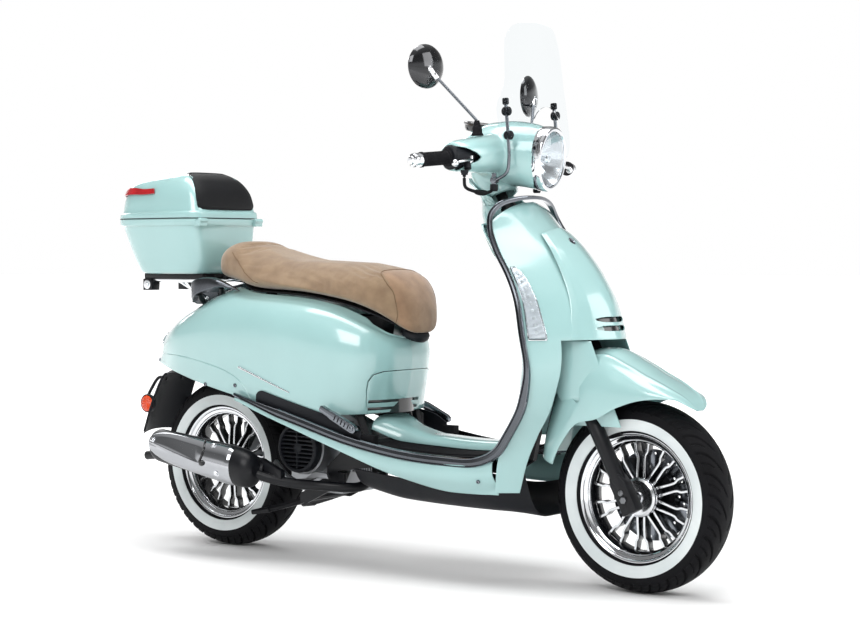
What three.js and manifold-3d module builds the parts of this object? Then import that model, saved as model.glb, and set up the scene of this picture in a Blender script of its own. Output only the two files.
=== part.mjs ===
// Classic-style petrol scooter with a rear luggage case, in millimetres, +X forward, +Y left, +Z up.
// Inside the vehicle group x = 0 is the rear axle and z = 0 is the ground.
import * as THREE from 'three';
import { mergeVertices } from 'three/addons/utils/BufferGeometryUtils.js';
import Module from 'manifold-3d';

const wasm = await Module();
wasm.setup();

// ---------------------------------------------------------------- driving dimensions
const WHEELBASE = 1320;
const MIDDLE_X = 597.4;             // middle of the overall length, measured from the rear axle
const FRONT_TYRE_R = 228;
const REAR_TYRE_R = 231;
const FRONT_TYRE_WIDTH = 110;
const REAR_TYRE_WIDTH = 120;
const RIM_R = 150;                  // outside of the rim lip
const RAKE = THREE.MathUtils.degToRad(27.7);
const FORK_OFFSET = 30;             // fork legs ahead of the steering axis
const FORK_HALF_TRACK = 76;
const SHELL = 3;                    // wall of the plastic panels
const GAP = 0.4;                    // clearance between pieces that touch
const SWING_PIVOT = [430, 232];     // x, z of the pin that carries the engine unit
const STAND_PIVOT = [330, 158];     // x, z of the centre stand pin

const FRONT_AXLE = [WHEELBASE, FRONT_TYRE_R];
const SLOPE_X = -Math.sin(RAKE);
const SLOPE_Z = Math.cos(RAKE);
const AXIS_X0 = WHEELBASE - FORK_OFFSET / Math.cos(RAKE);   // steering axis at axle height

// ---------------------------------------------------------------- materials
const finish = (color, roughness, metalness, extra = {}) =>
  new THREE.MeshStandardMaterial({ color, roughness, metalness, ...extra });
const PAINT = finish(0xafdad9, 0.25, 0);
const BLACK = finish(0x191b23, 0.55, 0);
const RUBBER = finish(0x15161a, 0.85, 0);
const CHROME = finish(0xd8dade, 0.08, 1);
const STEEL = finish(0x77797d, 0.4, 0.9);
const SILVER = finish(0xb9bbbe, 0.35, 0.9);
const GUNMETAL = finish(0x5b5e62, 0.3, 0.9);
const SUEDE = finish(0xa58a70, 0.9, 0);
const CLEAR = finish(0xf2f6f8, 0.05, 0, { transparent: true, opacity: 0.35 });
const RED = finish(0x960a14, 0.2, 0);

// ---------------------------------------------------------------- numbers along a line
// A smooth function through [position, value] pairs, level where the values turn back.
function through(keys) {
  const slope = keys.map((key, i) => {
    if (i === 0 || i === keys.length - 1) return 0;
    const before = (key[1] - keys[i - 1][1]) / (key[0] - keys[i - 1][0]);
    const after = (keys[i + 1][1] - key[1]) / (keys[i + 1][0] - key[0]);
    return before * after <= 0 ? 0 : (2 * before * after) / (before + after);
  });
  const last = keys.length - 1;
  slope[0] = (keys[1][1] - keys[0][1]) / (keys[1][0] - keys[0][0]);
  slope[last] = (keys[last][1] - keys[last - 1][1]) / (keys[last][0] - keys[last - 1][0]);
  return (t) => {
    if (t <= keys[0][0]) return keys[0][1];
    if (t >= keys[last][0]) return keys[last][1];
    let i = 0;
    while (t > keys[i + 1][0]) i += 1;
    const step = keys[i + 1][0] - keys[i][0];
    const s = (t - keys[i][0]) / step;
    const a = 2 * s ** 3 - 3 * s ** 2 + 1;
    const b = s ** 3 - 2 * s ** 2 + s;
    const c = -2 * s ** 3 + 3 * s ** 2;
    const d = s ** 3 - s ** 2;
    return a * keys[i][1] + b * step * slope[i] + c * keys[i + 1][1] + d * step * slope[i + 1];
  };
}

const mix = (a, b, t) => a + (b - a) * t;
const point = (x, y, z) => new THREE.Vector3(x, y, z);
const forkLine = (d, y) => point(FRONT_AXLE[0] + SLOPE_X * d, y, FRONT_AXLE[1] + SLOPE_Z * d);
const steerLine = (d, y = 0) => point(AXIS_X0 + SLOPE_X * d, y, FRONT_AXLE[1] + SLOPE_Z * d);

// ---------------------------------------------------------------- solids
function bare(geometry) {
  const shape = geometry.index ? geometry.toNonIndexed() : geometry.clone();
  shape.deleteAttribute('normal');
  shape.deleteAttribute('uv');
  return mergeVertices(shape, 1e-4);
}

function solid(geometry) {
  const merged = bare(geometry);
  const mesh = new wasm.Mesh({
    numProp: 3,
    vertProperties: merged.attributes.position.array,
    triVerts: new Uint32Array(merged.index.array),
  });
  return new wasm.Manifold(mesh);
}

function fromSolid(body) {
  const mesh = body.getMesh();
  const geometry = new THREE.BufferGeometry();
  geometry.setAttribute('position', new THREE.BufferAttribute(mesh.vertProperties, 3));
  geometry.setIndex(new THREE.BufferAttribute(mesh.triVerts, 1));
  return geometry;
}

const join = (...parts) => fromSolid(parts.map(solid).reduce((a, b) => a.add(b)));
const cut = (from, ...tools) => fromSolid(tools.map(solid).reduce((a, b) => a.subtract(b), solid(from)));

// The largest connected piece of a solid that a cut has left in several.
function mainPiece(geometry) {
  const pieces = solid(geometry).decompose();
  const size = (body) => Math.abs(body.volume());
  return fromSolid(pieces.reduce((a, b) => (size(a) > size(b) ? a : b)));
}

// The same shape with every vertex moved out by the gap.
function grown(geometry, gap) {
  const shape = bare(geometry);
  shape.computeVertexNormals();
  const places = shape.attributes.position;
  const out = new THREE.Vector3();
  const place = new THREE.Vector3();
  for (let i = 0; i < places.count; i += 1) {
    place.fromBufferAttribute(places, i);
    out.fromBufferAttribute(shape.attributes.normal, i);
    place.addScaledVector(out, gap);
    places.setXYZ(i, place.x, place.y, place.z);
  }
  return shape;
}

function box(x0, x1, y0, y1, z0, z1) {
  const geometry = new THREE.BoxGeometry(x1 - x0, y1 - y0, z1 - z0);
  return geometry.translate((x0 + x1) / 2, (y0 + y1) / 2, (z0 + z1) / 2);
}

// A round bar between two points, tapered when the radii differ.
function rod(from, to, radius, endRadius = radius, sides = 16) {
  const along = to.clone().sub(from);
  const geometry = new THREE.CylinderGeometry(endRadius, radius, along.length(), sides);
  const turn = new THREE.Quaternion().setFromUnitVectors(point(0, 1, 0), along.clone().normalize());
  geometry.applyQuaternion(turn);
  const middle = from.clone().add(to).multiplyScalar(0.5);
  return geometry.translate(middle.x, middle.y, middle.z);
}

// A solid of revolution about a line along Y through (x, z); the profile is [radius, y] pairs.
function round(profile, x, z, segments = 40) {
  const points = profile.map(([r, y]) => new THREE.Vector2(r, y));
  const turned = bare(new THREE.LatheGeometry(points, segments));
  return outward([...turned.attributes.position.array], [...turned.index.array]).translate(x, 0, z);
}

function disc(radius, y0, y1, x, z, segments = 32) {
  const geometry = new THREE.CylinderGeometry(radius, radius, y1 - y0, segments);
  return geometry.translate(x, (y0 + y1) / 2, z);
}

function tube(points, radius, steps = 24, sides = 10) {
  const section = new THREE.Shape();
  section.absarc(0, 0, radius, 0, 2 * Math.PI, false);
  const path = new THREE.CatmullRomCurve3(points, false, 'centripetal');
  return new THREE.ExtrudeGeometry(section, {
    steps, extrudePath: path, bevelEnabled: false, curveSegments: Math.round(sides / 2),
  });
}

// A closed solid through rings that all have the same number of points.
function loft(rings) {
  const count = rings[0].length;
  const positions = rings.flat().flatMap((p) => [p.x, p.y, p.z]);
  const index = [];
  for (let i = 0; i + 1 < rings.length; i += 1) {
    for (let j = 0; j < count; j += 1) {
      const a = i * count + j;
      const b = i * count + ((j + 1) % count);
      index.push(a, b, a + count, b, b + count, a + count);
    }
  }
  const addCap = (ring, start, flip) => {
    const middle = ring.reduce((sum, p) => sum.add(p), point(0, 0, 0)).divideScalar(count);
    const centre = positions.length / 3;
    positions.push(middle.x, middle.y, middle.z);
    for (let j = 0; j < count; j += 1) {
      const a = start + j;
      const b = start + ((j + 1) % count);
      index.push(centre, flip ? b : a, flip ? a : b);
    }
  };
  addCap(rings[0], 0, true);
  addCap(rings[rings.length - 1], (rings.length - 1) * count, false);
  return outward(positions, index);
}

function outward(positions, index) {
  const geometry = new THREE.BufferGeometry();
  geometry.setAttribute('position', new THREE.Float32BufferAttribute(positions, 3));
  let volume = 0;
  const corner = (k) => point(positions[3 * k], positions[3 * k + 1], positions[3 * k + 2]);
  for (let i = 0; i < index.length; i += 3) {
    volume += corner(index[i]).dot(corner(index[i + 1]).cross(corner(index[i + 2])));
  }
  geometry.setIndex(volume < 0 ? index.reverse() : index);
  return geometry;
}

// A thin wall on the surface(u, v), both from 0 to 1, with its thickness on one side of it.
function sheet(surface, across, down, thickness = SHELL) {
  const positions = [];
  const inner = [];
  const small = 1e-3;
  for (let i = 0; i <= across; i += 1) {
    for (let j = 0; j <= down; j += 1) {
      const u = i / across;
      const v = j / down;
      const p = surface(u, v);
      const du = surface(Math.min(1, u + small), v).sub(surface(Math.max(0, u - small), v));
      const dv = surface(u, Math.min(1, v + small)).sub(surface(u, Math.max(0, v - small)));
      const q = p.clone().addScaledVector(du.cross(dv).normalize(), thickness);
      positions.push(p.x, p.y, p.z);
      inner.push(q.x, q.y, q.z);
    }
  }
  const row = down + 1;
  const half = (across + 1) * row;
  const index = [];
  const quad = (a, b, c, d) => index.push(a, b, c, a, c, d);
  for (let i = 0; i < across; i += 1) {
    for (let j = 0; j < down; j += 1) {
      const a = i * row + j;
      quad(a, a + 1, a + row + 1, a + row);
      quad(half + a, half + a + row, half + a + row + 1, half + a + 1);
    }
    quad(i * row, (i + 1) * row, half + (i + 1) * row, half + i * row);
    quad(i * row + down, half + i * row + down, half + (i + 1) * row + down, (i + 1) * row + down);
  }
  for (let j = 0; j < down; j += 1) {
    const end = across * row + j;
    quad(j, half + j, half + j + 1, j + 1);
    quad(end, end + 1, half + end + 1, half + end);
  }
  return outward(positions.concat(inner), index);
}

// A flat plate with the outline in x and z, from y0 to y1.
function plate(outline, y0, y1) {
  const shape = new THREE.Shape(outline.map(([x, z]) => new THREE.Vector2(x, z)));
  const geometry = new THREE.ExtrudeGeometry(shape, { depth: y1 - y0, bevelEnabled: false, curveSegments: 6 });
  return geometry.rotateX(Math.PI / 2).translate(0, y1, 0);
}

const mirrored = (geometry) => {
  const shape = bare(geometry).scale(1, -1, 1);
  shape.setIndex([...shape.index.array].reverse());
  return shape;
};

// A superellipse ring in the plane across X, Y or Z.
function ring(centre, halfA, halfB, plane, count = 20, power = 1) {
  return Array.from({ length: count }, (_, i) => {
    const angle = (2 * Math.PI * i) / count;
    const soft = (value) => Math.sign(value) * Math.abs(value) ** power;
    const a = halfA * soft(Math.cos(angle));
    const b = halfB * soft(Math.sin(angle));
    if (plane === 'x') return point(centre.x, centre.y + a, centre.z + b);
    if (plane === 'y') return point(centre.x + a, centre.y, centre.z + b);
    return point(centre.x + a, centre.y + b, centre.z);
  });
}

const vehicle = new THREE.Group();
vehicle.position.x = -MIDDLE_X;

function add(name, geometry, material) {
  const shown = geometry.index ? geometry.toNonIndexed() : geometry;
  shown.computeVertexNormals();
  const mesh = new THREE.Mesh(shown, material);
  mesh.name = name;
  vehicle.add(mesh);
  return mesh;
}

// ---------------------------------------------------------------- body panels
// Half width and edge position of the leg shield at each height.
const shieldHalf = through([[230, 172], [374, 186], [472, 193], [600, 196], [700, 190], [800, 172],
  [874, 148], [905, 128], [924, 95], [933, 66], [960, 62], [1000, 60]]);
const shieldEdgeX = through([[230, 1000], [300, 1012], [374, 1048], [436, 1094], [472, 1106], [531, 1117],
  [614, 1104], [696, 1086], [755, 1054], [814, 1012], [874, 976], [905, 968], [933, 962], [1000, 905]]);
const shieldFrontX = through([[230, 1150], [440, 1200], [600, 1240], [682, 1212], [742, 1176], [814, 1118],
  [884, 1046], [933, 1000]]);
const SHIELD_TOP = 933;
const shieldTopAt = through([[0, SHIELD_TOP], [60, 930], [95, 922], [125, 903], [148, 872], [160, 840]]);

function legShieldPoint(side, z) {
  const half = Math.min(shieldHalf(z), shieldHalf(905) + (SHIELD_TOP - z) * 1.1) - 2;
  const edge = shieldEdgeX(z) + 6;
  const crown = (shieldFrontX(z) - edge) * (1 - Math.abs(side) ** 1.7);
  return point(edge + crown, side * half, z);
}

const WHEEL_WELL_HALF = 134;        // half width of the space in which the front fender turns

function legShield() {
  const surface = (u, v) => {
    const side = 2 * u - 1;
    return legShieldPoint(side, mix(shieldTopAt(Math.abs(side) * shieldHalf(890)), 230, v));
  };
  return cut(sheet(surface, 14, 9, SHELL), box(900, 1400, -WHEEL_WELL_HALF, WHEEL_WELL_HALF, 0, 600));
}

// A clear strip that stands on the shield beside its edge trim.
function turnSignal(sign) {
  const surface = (u, v) => {
    const z = mix(772, 602, v);
    const side = mix(0.975, through([[0, 0.93], [0.12, 0.88], [1, 0.82]])(v), u);
    const p = legShieldPoint(side, z);
    const across = legShieldPoint(side - 0.01, z).sub(p);
    const down = legShieldPoint(side, z - 1).sub(p);
    const out = down.cross(across).normalize();
    if (out.x < 0) out.negate();
    p.addScaledVector(out, 0.8);
    return point(p.x, sign * p.y, p.z);
  };
  return sheet(surface, 2, 6, sign > 0 ? 6 : -6);
}

const columnHump = through([[330, 58], [400, 92], [500, 124], [600, 120], [700, 112], [800, 96], [850, 94],
  [900, 98], [950, 92], [1000, 92]]);
const humpHalf = through([[330, 112], [600, 128], [800, 92], [900, 76], [960, 62], [1000, 60]]);
const GLOVEBOX = { y0: -146, y1: -62, z0: 792, z1: 878 };   // mouth in the inner shield
const innerEdgeX = (z) => shieldEdgeX(z) - 6;

function innerShieldPoint(side, z) {
  const half = shieldHalf(z) - 2;
  const y = side * half;
  const away = Math.min(1, Math.abs(y) / humpHalf(z));
  const fullness = z > 900 ? 0.5 : mix(0.5, 1, (900 - z) / 570);
  return point(innerEdgeX(z) - columnHump(z) * (1 - away ** 2) ** fullness, y, z);
}

// Its top edge drops towards the sides, clear of the headset when the bars are turned.
const innerTop = (side) => 996 - 54 * side ** 2;

function innerShield() {
  const skin = sheet((u, v) => innerShieldPoint(2 * u - 1, mix(innerTop(2 * u - 1), 352, v)), 14, 10, SHELL);
  const { y0, y1, z0, z1 } = GLOVEBOX;
  return cut(skin, box(800, 1050, y0 + 8, y1 - 8, z0 + 8, z1 - 8));
}

function gloveboxDoor() {
  const surface = (u, v) => {
    const y = mix(GLOVEBOX.y0, GLOVEBOX.y1, u);
    const z = mix(GLOVEBOX.z1, GLOVEBOX.z0, v);
    const p = innerShieldPoint(y / (shieldHalf(z) - 2), z);
    const swell = 14 * (1 - (2 * u - 1) ** 4) * (1 - (2 * v - 1) ** 4);
    return point(p.x - 16 - swell, y, z);
  };
  return sheet(surface, 5, 5, SHELL);
}

const hornHalf = through([[600, 116], [700, 96], [800, 78], [850, 64], [868, 46]]);
const hornFrontX = through([[600, 1256], [682, 1232], [742, 1198], [814, 1140], [868, 1082]]);

function hornCover() {
  const surface = (u, v) => {
    const side = 2 * u - 1;
    const z = mix(868 - 10 * side ** 2, 601, v);
    const half = hornHalf(z);
    const drop = mix(20, 54, v) * Math.abs(side) ** 1.5;
    return point(hornFrontX(z) - drop, side * half, z);
  };
  const cover = sheet(surface, 8, 6, -SHELL);
  const slots = [624, 643].map((z) => box(1150, 1300, -56, 56, z, z + 9));
  return cut(cover, ...slots);
}

// ---------------------------------------------------------------- front wheel cover
const fenderCentreR = through([[54, 262], [60, 274], [70, 282], [82, 297], [92, 324], [103, 362], [113, 372],
  [125, 348], [140, 306], [152, 284], [160, 272]]);
const fenderEdgeR = through([[54, 262], [62, 268], [68, 258], [80, 238], [93, 218], [110, 200], [128, 214],
  [141, 212], [160, 212]]);
const fenderHalf = through([[54, 14], [57, 44], [65, 74], [75, 90], [90, 100], [110, 108], [125, 106],
  [145, 98], [160, 94]]);

function fenderPoint(u, v) {
  const angle = mix(54, 160, u);
  const turn = THREE.MathUtils.degToRad(angle);
  const across = (2 * v - 1) * Math.PI / 2;
  const side = Math.sign(across) * Math.abs(Math.sin(across)) ** 0.85;
  const radius = mix(fenderEdgeR(angle), fenderCentreR(angle), Math.cos(across) ** 0.8);
  return point(FRONT_AXLE[0] + radius * Math.cos(turn), side * fenderHalf(angle),
    FRONT_AXLE[1] + radius * Math.sin(turn));
}

function frontFender() {
  const skin = sheet(fenderPoint, 12, 8, SHELL);
  const legs = [-1, 1].map((side) => rod(forkLine(150, side * FORK_HALF_TRACK),
    forkLine(520, side * FORK_HALF_TRACK), 29));
  const stem = rod(steerLine(250), steerLine(520), 30);
  return mainPiece(cut(skin, ...legs, stem));
}

// ---------------------------------------------------------------- edge trim and sill
function shieldTrim() {
  const half = [
    [175, 192, 436], [290, 196, 404], [404, 197, 375], [571, 197, 334], [732, 196, 309], [856, 192, 301],
    [960, 188, 303], [1020, 187, 328], [1058, 190, 374], [1099, 197, 436], [1111, 199, 472], [1121, 202, 531],
    [1108, 204, 614], [1088, 198, 700], [1057, 188, 757], [1014, 176, 816], [984, 158, 866], [974, 140, 900],
    [980, 112, 924], [994, 64, 938],
  ];
  const right = half.map(([x, y, z]) => point(x, -y, z));
  const left = half.map(([x, y, z]) => point(x, y, z)).reverse();
  const path = new THREE.CatmullRomCurve3([...right, point(1006, 0, 943), ...left], false, 'centripetal');
  const count = 60;
  const rings = [];
  for (let i = 0; i <= count; i += 1) {
    const t = i / count;
    const p = path.getPointAt(t);
    const along = path.getTangentAt(t);
    const out = point(0.15, p.y / 200, p.z > 850 ? (p.z - 850) / 60 : 0);
    out.addScaledVector(along, -out.dot(along)).normalize();
    const wide = new THREE.Vector3().crossVectors(along, out);
    const low = Math.min(1, Math.max(0, (560 - p.z) / 100));
    const half2 = mix(6, 11, low) * Math.min(1, 0.3 + Math.min(i, count - i) / 5);
    const thick = 4.5;
    const section = [[-1, -0.6], [-0.55, 1], [0.55, 1], [1, -0.6]];
    rings.push(section.map(([a, b]) => p.clone().addScaledVector(wide, a * half2)
      .addScaledVector(out, b * thick + 1.2)));
  }
  return loft(rings);
}

const sillTop = through([[175, 436], [290, 404], [404, 375], [571, 334], [732, 309], [856, 301], [960, 303],
  [1020, 320]]);
const skirtLow = through([[175, 424], [212, 408], [404, 347], [571, 297], [732, 250], [886, 224], [1006, 223],
  [1040, 234]]);

function sideSkirt(sign) {
  const surface = (u, v) => {
    const x = mix(182, 1002, u);
    const top = sillTop(x) - 17;
    const low = Math.min(top - 8, skirtLow(x));
    const inward = through([[0, 0], [24, -2], [70, 26]])((top - low) * v);
    const nose = through([[182, 0], [880, 0], [1002, 10]])(x);
    return point(x, sign * (190 - inward - nose), mix(top, low, v));
  };
  return sheet(surface, 12, 3, sign > 0 ? SHELL : -SHELL);
}

const bellyLow = through([[532, 206], [563, 198], [677, 182], [803, 178], [986, 176], [1068, 168]]);
const bellyTop = through([[532, 256], [700, 244], [900, 222], [1000, 236], [1068, 296]]);

function bellyPan() {
  const surface = (u, v) => {
    const x = mix(532, 1068, u);
    const side = 2 * v - 1;
    const half = through([[532, 122], [700, 142], [950, 150], [1068, 116]])(x);
    const lean = 16 * Math.abs(side) ** 3 * u ** 8;
    return point(x - lean, half * Math.sign(side) * Math.abs(side) ** 0.8, mix(bellyLow(x), bellyTop(x), side ** 4));
  };
  return sheet(surface, 8, 8, -4);
}

const floorZ = through([[560, 352], [640, 322], [732, 316], [856, 312], [960, 316], [1024, 338]]);
const floorHalf = through([[560, 168], [700, 176], [900, 178], [1024, 164]]);
const TUNNEL_HALF = 52;

function floorboard() {
  const tread = (u, v) => {
    const x = mix(602, 1024, u);
    return point(x, (2 * v - 1) * floorHalf(x), floorZ(x));
  };
  const columnHole = rod(point(1004, 0, 200), point(1012, 0, 460), 30, 30, 8);
  const sidePanel = (sign) => {
    const surface = (u, v) => {
      const x = mix(196, 600, u);
      const high = through([[196, 420], [300, 404], [486, 382], [560, 370], [600, 350]])(x);
      return point(x, sign * 178, mix(high, sillTop(x) - 22, v));
    };
    return sheet(surface, 5, 1, sign > 0 ? SHELL : -SHELL);
  };
  const sill = box(600, 640, 160, 181, 312, 350);
  const whole = join(sheet(tread, 6, 2, -4), sidePanel(1), sidePanel(-1), sill, mirrored(sill));
  return cut(whole, columnHole);
}

function floorTunnel() {
  const surface = (u, v) => {
    const x = mix(562, 962, u);
    const side = 2 * v - 1;
    const rise = through([[562, 36], [610, 38], [720, 24], [962, 22]])(x);
    const half = through([[562, 92], [660, 60], [800, TUNNEL_HALF], [962, TUNNEL_HALF]])(x);
    return point(x, side * half, floorZ(x) + 4 + GAP + rise * (1 - side ** 4) ** 0.6);
  };
  return sheet(surface, 6, 6, -SHELL);
}

// ---------------------------------------------------------------- rear body
// Matching points of the cowl from the tail round to the nose under the seat: its top edge,
// widest line and hem, each as x, half width, z.
const COWL_SECTIONS = [
  [[-214, 0, 574], [-236, 0, 540], [-250, 0, 510]],
  [[-204, 0, 582], [-218, 46, 542], [-240, 42, 508]],
  [[-178, 0, 602], [-192, 88, 546], [-212, 82, 505]],
  [[-128, 0, 634], [-148, 127, 556], [-164, 119, 502]],
  [[-40, 0, 676], [-72, 163, 576], [-72, 153, 482]],
  [[64, 54, 714], [60, 184, 590], [60, 172, 452]],
  [[190, 112, 700], [210, 193, 590], [210, 180, 424]],
  [[360, 112, 688], [370, 194, 580], [370, 182, 404]],
  [[470, 104, 668], [480, 182, 562], [484, 172, 395]],
  [[546, 84, 636], [566, 148, 550], [550, 142, 396]],
  [[588, 50, 604], [610, 84, 548], [584, 80, 398]],
  [[602, 0, 592], [624, 0, 546], [594, 0, 400]],
];

function cowlSurface() {
  const line = (k) => new THREE.CatmullRomCurve3(COWL_SECTIONS.map((s) => point(...s[k])), false, 'catmullrom');
  const [top, wide, hem] = [line(0), line(1), line(2)];
  return (u, v) => {
    const a = top.getPoint(u);
    const b = wide.getPoint(u);
    const c = hem.getPoint(u);
    const shoulder = point(mix(a.x, b.x, 0.86), mix(a.y, b.y, 0.86), a.z - 0.1 * (a.z - b.z));
    const flank = point(b.x, b.y, mix(b.z, c.z, 0.35));
    if (v < 0.55) return new THREE.QuadraticBezierCurve3(a, shoulder, b).getPoint(v / 0.55);
    return new THREE.QuadraticBezierCurve3(b, flank, c).getPoint((v - 0.55) / 0.45);
  };
}

// The whole cowl, mirrored about the middle plane of the vehicle.
function cowlShell() {
  const side = sheet(cowlSurface(), 18, 5, -SHELL);
  const half = cut(side, box(-400, 800, -60, 0.02, 300, 900));
  const inboard = bare(half).translate(0, -0.05, 0);
  return join(inboard, mirrored(inboard));
}

// The removable cover under the seat nose, in side view.
const hatch = (gap) => plate([[562 + gap, 340], [574 + gap, 466], [592 + gap, 508 - gap], [700, 508 - gap],
  [700, 340]], -250, 250);

const rearCowl = () => mainPiece(cut(cowlShell(), hatch(0)));

function seatPedestal() {
  const cover = fromSolid(solid(cowlShell()).intersect(solid(hatch(1.5))));
  const slots = [407, 425].map((z) => box(540, 700, -120, 60, z, z + 7));
  return mainPiece(cut(cover, ...slots));
}

function tailLamp() {
  const skin = cowlSurface();
  const half = (u, v) => {
    const p = skin(mix(0, 0.17, u), mix(0.08, 0.5, v));
    return point(p.x - 11 + 5 * u, p.y + 4 * u, p.z + 5);
  };
  const side = bare(cut(sheet(half, 4, 2, -5), box(-400, 800, -60, 0.02, 300, 900))).translate(0, -0.05, 0);
  return join(side, mirrored(side));
}

function rearMudguard() {
  const surface = (u, v) => {
    const side = 2 * v - 1;
    const t = u;
    const x = through([[0, -150], [0.3, -218], [0.6, -262], [1, -298]])(t);
    const z = through([[0, 484], [0.3, 480], [0.6, 416], [1, 308]])(t);
    const half = through([[0, 62], [0.5, 72], [1, 84]])(t);
    return point(x + 22 * side ** 2, half * side, z - 8 * side ** 2);
  };
  return sheet(surface, 6, 4, 4);
}

// ---------------------------------------------------------------- seat
// x, bottom, top and half width of the cushion.
const SEAT_STATIONS = [
  [24, 752, 792, 62], [34, 742, 816, 92], [58, 736, 836, 114], [98, 729, 843, 126], [169, 712, 812, 136],
  [274, 707, 784, 140], [360, 700, 778, 140], [482, 680, 773, 136], [560, 655, 771, 126], [608, 630, 757, 108],
  [640, 608, 728, 86], [660, 600, 690, 60], [668, 612, 664, 30],
];

function seatRing(x, low, high, half) {
  const count = 14;
  const middle = mix(low, high, 0.45);
  return Array.from({ length: count }, (_, i) => {
    const angle = (2 * Math.PI * i) / count;
    const soft = (value, power) => Math.sign(value) * Math.abs(value) ** power;
    const rise = soft(Math.sin(angle), 0.55);
    const z = rise > 0 ? middle + (high - middle) * rise : middle + (middle - low) * rise;
    return point(x, half * soft(Math.cos(angle), 0.62), z);
  });
}

const seatPad = () => loft(SEAT_STATIONS.map((station) => seatRing(...station)));

function seatBase() {
  const stations = [[104, 726.5], [169, 710.5], [274, 705.5], [360, 698.5], [482, 678], [560, 653], [604, 630], [645, 602.5]];
  const rings = stations.map(([x, z], i) => {
    const half = [70, 96, 102, 102, 98, 80, 50, 30][i];
    return [point(x, -half, z - 5), point(x, half, z - 5), point(x, half, z), point(x, -half, z)];
  });
  return loft(rings);
}

// ---------------------------------------------------------------- luggage case and rack
const CASE_X = -187;
const CASE_HALF = 170;
const SEAL_Z = 905;

// Outline of the case at one height: tight corners in front, round ones behind.
function caseRing(z, a, b, shift = 0) {
  const bend = (value, power) => Math.sign(value) * Math.abs(value) ** power;
  return Array.from({ length: 24 }, (_, i) => {
    const angle = (2 * Math.PI * (i + 0.5)) / 24;
    const power = mix(0.62, 0.26, (1 + Math.cos(angle)) / 2);
    return point(CASE_X + shift + a * bend(Math.cos(angle), power), b * bend(Math.sin(angle), power), z);
  });
}

function caseSolid(levels) {
  return loft(levels.map((level) => caseRing(...level)));
}

// The roof of the lid falls towards the rear.
function sloped(p) {
  const along = Math.min(1, Math.max(0, (p.x - CASE_X + CASE_HALF) / (2 * CASE_HALF)));
  return point(p.x, p.y, p.z > SEAL_Z ? SEAL_Z + (p.z - SEAL_Z) * mix(0.72, 1.06, along ** 0.6) : p.z);
}

function lidSolid(levels) {
  return loft(levels.map((level) => caseRing(...level).map(sloped)));
}

function caseBase() {
  const outer = caseSolid([[752, 129, 103, 22], [760, 135, 109, 21], [820, 150, 124, 12], [884, 162, 135, 2],
    [890, 169, 142], [904, 170, 143]]);
  const inner = caseSolid([[756, 125, 99, 22], [764, 130, 104, 21], [820, 146, 120, 12], [920, 160, 132, -2]]);
  const ears = [-1, 1].map((side) => box(-20, -7, side * 112 - 14, side * 112 + 14, 884, 900));
  const bridge = [-1, 1].map((side) => box(-30, -15, side * 112 - 14, side * 112 + 14, 886, 896));
  const foot = box(-270, -40, -82, 82, 744, 756);
  return join(cut(outer, inner), ...ears, ...bridge, foot);
}

const LID_LEVELS = [[905, 170, 143], [922, 169, 142], [930, 162, 135.6], [968, 154.5, 130.5, -3],
  [1004, 137, 119, -10], [1026, 112, 99, -18], [1040, 66, 60, -25]];

function caseLid() {
  const outer = lidSolid(LID_LEVELS);
  const inner = lidSolid([[880, 158, 131], [926, 158, 131], [968, 150.5, 126.5, -3], [1002, 133, 115, -10],
    [1022, 108, 95, -18], [1035, 62, 56, -25]]);
  return cut(outer, inner);
}

// Pad on the slanted front face of the lid.
function backrest() {
  const surface = (u, v) => {
    const side = 2 * v - 1;
    const up = u;
    const z = mix(927, 1034, up);
    const reach = through([[927, 167], [968, 157.5], [1004, 134], [1026, 101], [1034, 84]])(z);
    const half = mix(114, 76, up ** 2.4);
    const fall = mix(5, 9, up) * Math.abs(side) ** 3;
    return sloped(point(CASE_X + reach - fall, side * half, z));
  };
  const pad = sheet(surface, 5, 6, -9);
  return mainPiece(cut(pad, grown(lidSolid(LID_LEVELS), 0.5)));
}

function luggageRack() {
  const rail = (sign) => tube([point(30, sign * 66, 716), point(-30, sign * 68, 733), point(-120, sign * 70, 735),
    point(-262, sign * 70, 735)], 7, 7, 6);
  const cross = [-262, -150, -60].map((x) => rod(point(x, -70, 735), point(x, 70, 735), 6.5, 6.5, 6));
  const strut = (sign) => rod(point(-120, sign * 70, 733), point(-96, sign * 40, 682), 6, 6, 6);
  const foot = (sign) => box(-112, -80, sign * 40 - 12, sign * 40 + 12, 672, 684);
  const endBracket = (sign) => box(-272, -256, sign * 70 - 16, sign * 70 + 16, 722, 738);
  return join(rail(1), rail(-1), ...cross, strut(1), strut(-1), foot(1), foot(-1), endBracket(1),
    endBracket(-1));
}

function grabRail() {
  const half = [[122, 112, 708], [84, 122, 722], [30, 126, 732], [-26, 120, 726], [-66, 66, 706]];
  const points = [...half.map(([x, y, z]) => point(x, -y, z)), point(-76, 0, 706),
    ...half.map(([x, y, z]) => point(x, y, z)).reverse()];
  const path = new THREE.CatmullRomCurve3(points, false, 'centripetal');
  const rings = [];
  for (let i = 0; i <= 20; i += 1) {
    const p = path.getPointAt(i / 20);
    const along = path.getTangentAt(i / 20);
    const out = point(0, 0, 1).cross(along).normalize();
    const high = Math.min(1, 0.5 + Math.min(i, 20 - i) / 4);
    const section = Array.from({ length: 6 }, (_, k) => [Math.cos(k * Math.PI / 3), Math.sin(k * Math.PI / 3)]);
    rings.push(section.map(([a, b]) => p.clone().addScaledVector(out, 11 * high * a)
      .add(point(0, 0, 8 * high * b))));
  }
  return loft(rings);
}

// ---------------------------------------------------------------- steering
const CROWN_D = 432;                // distance of the fork crown from the axle, along the fork

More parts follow.
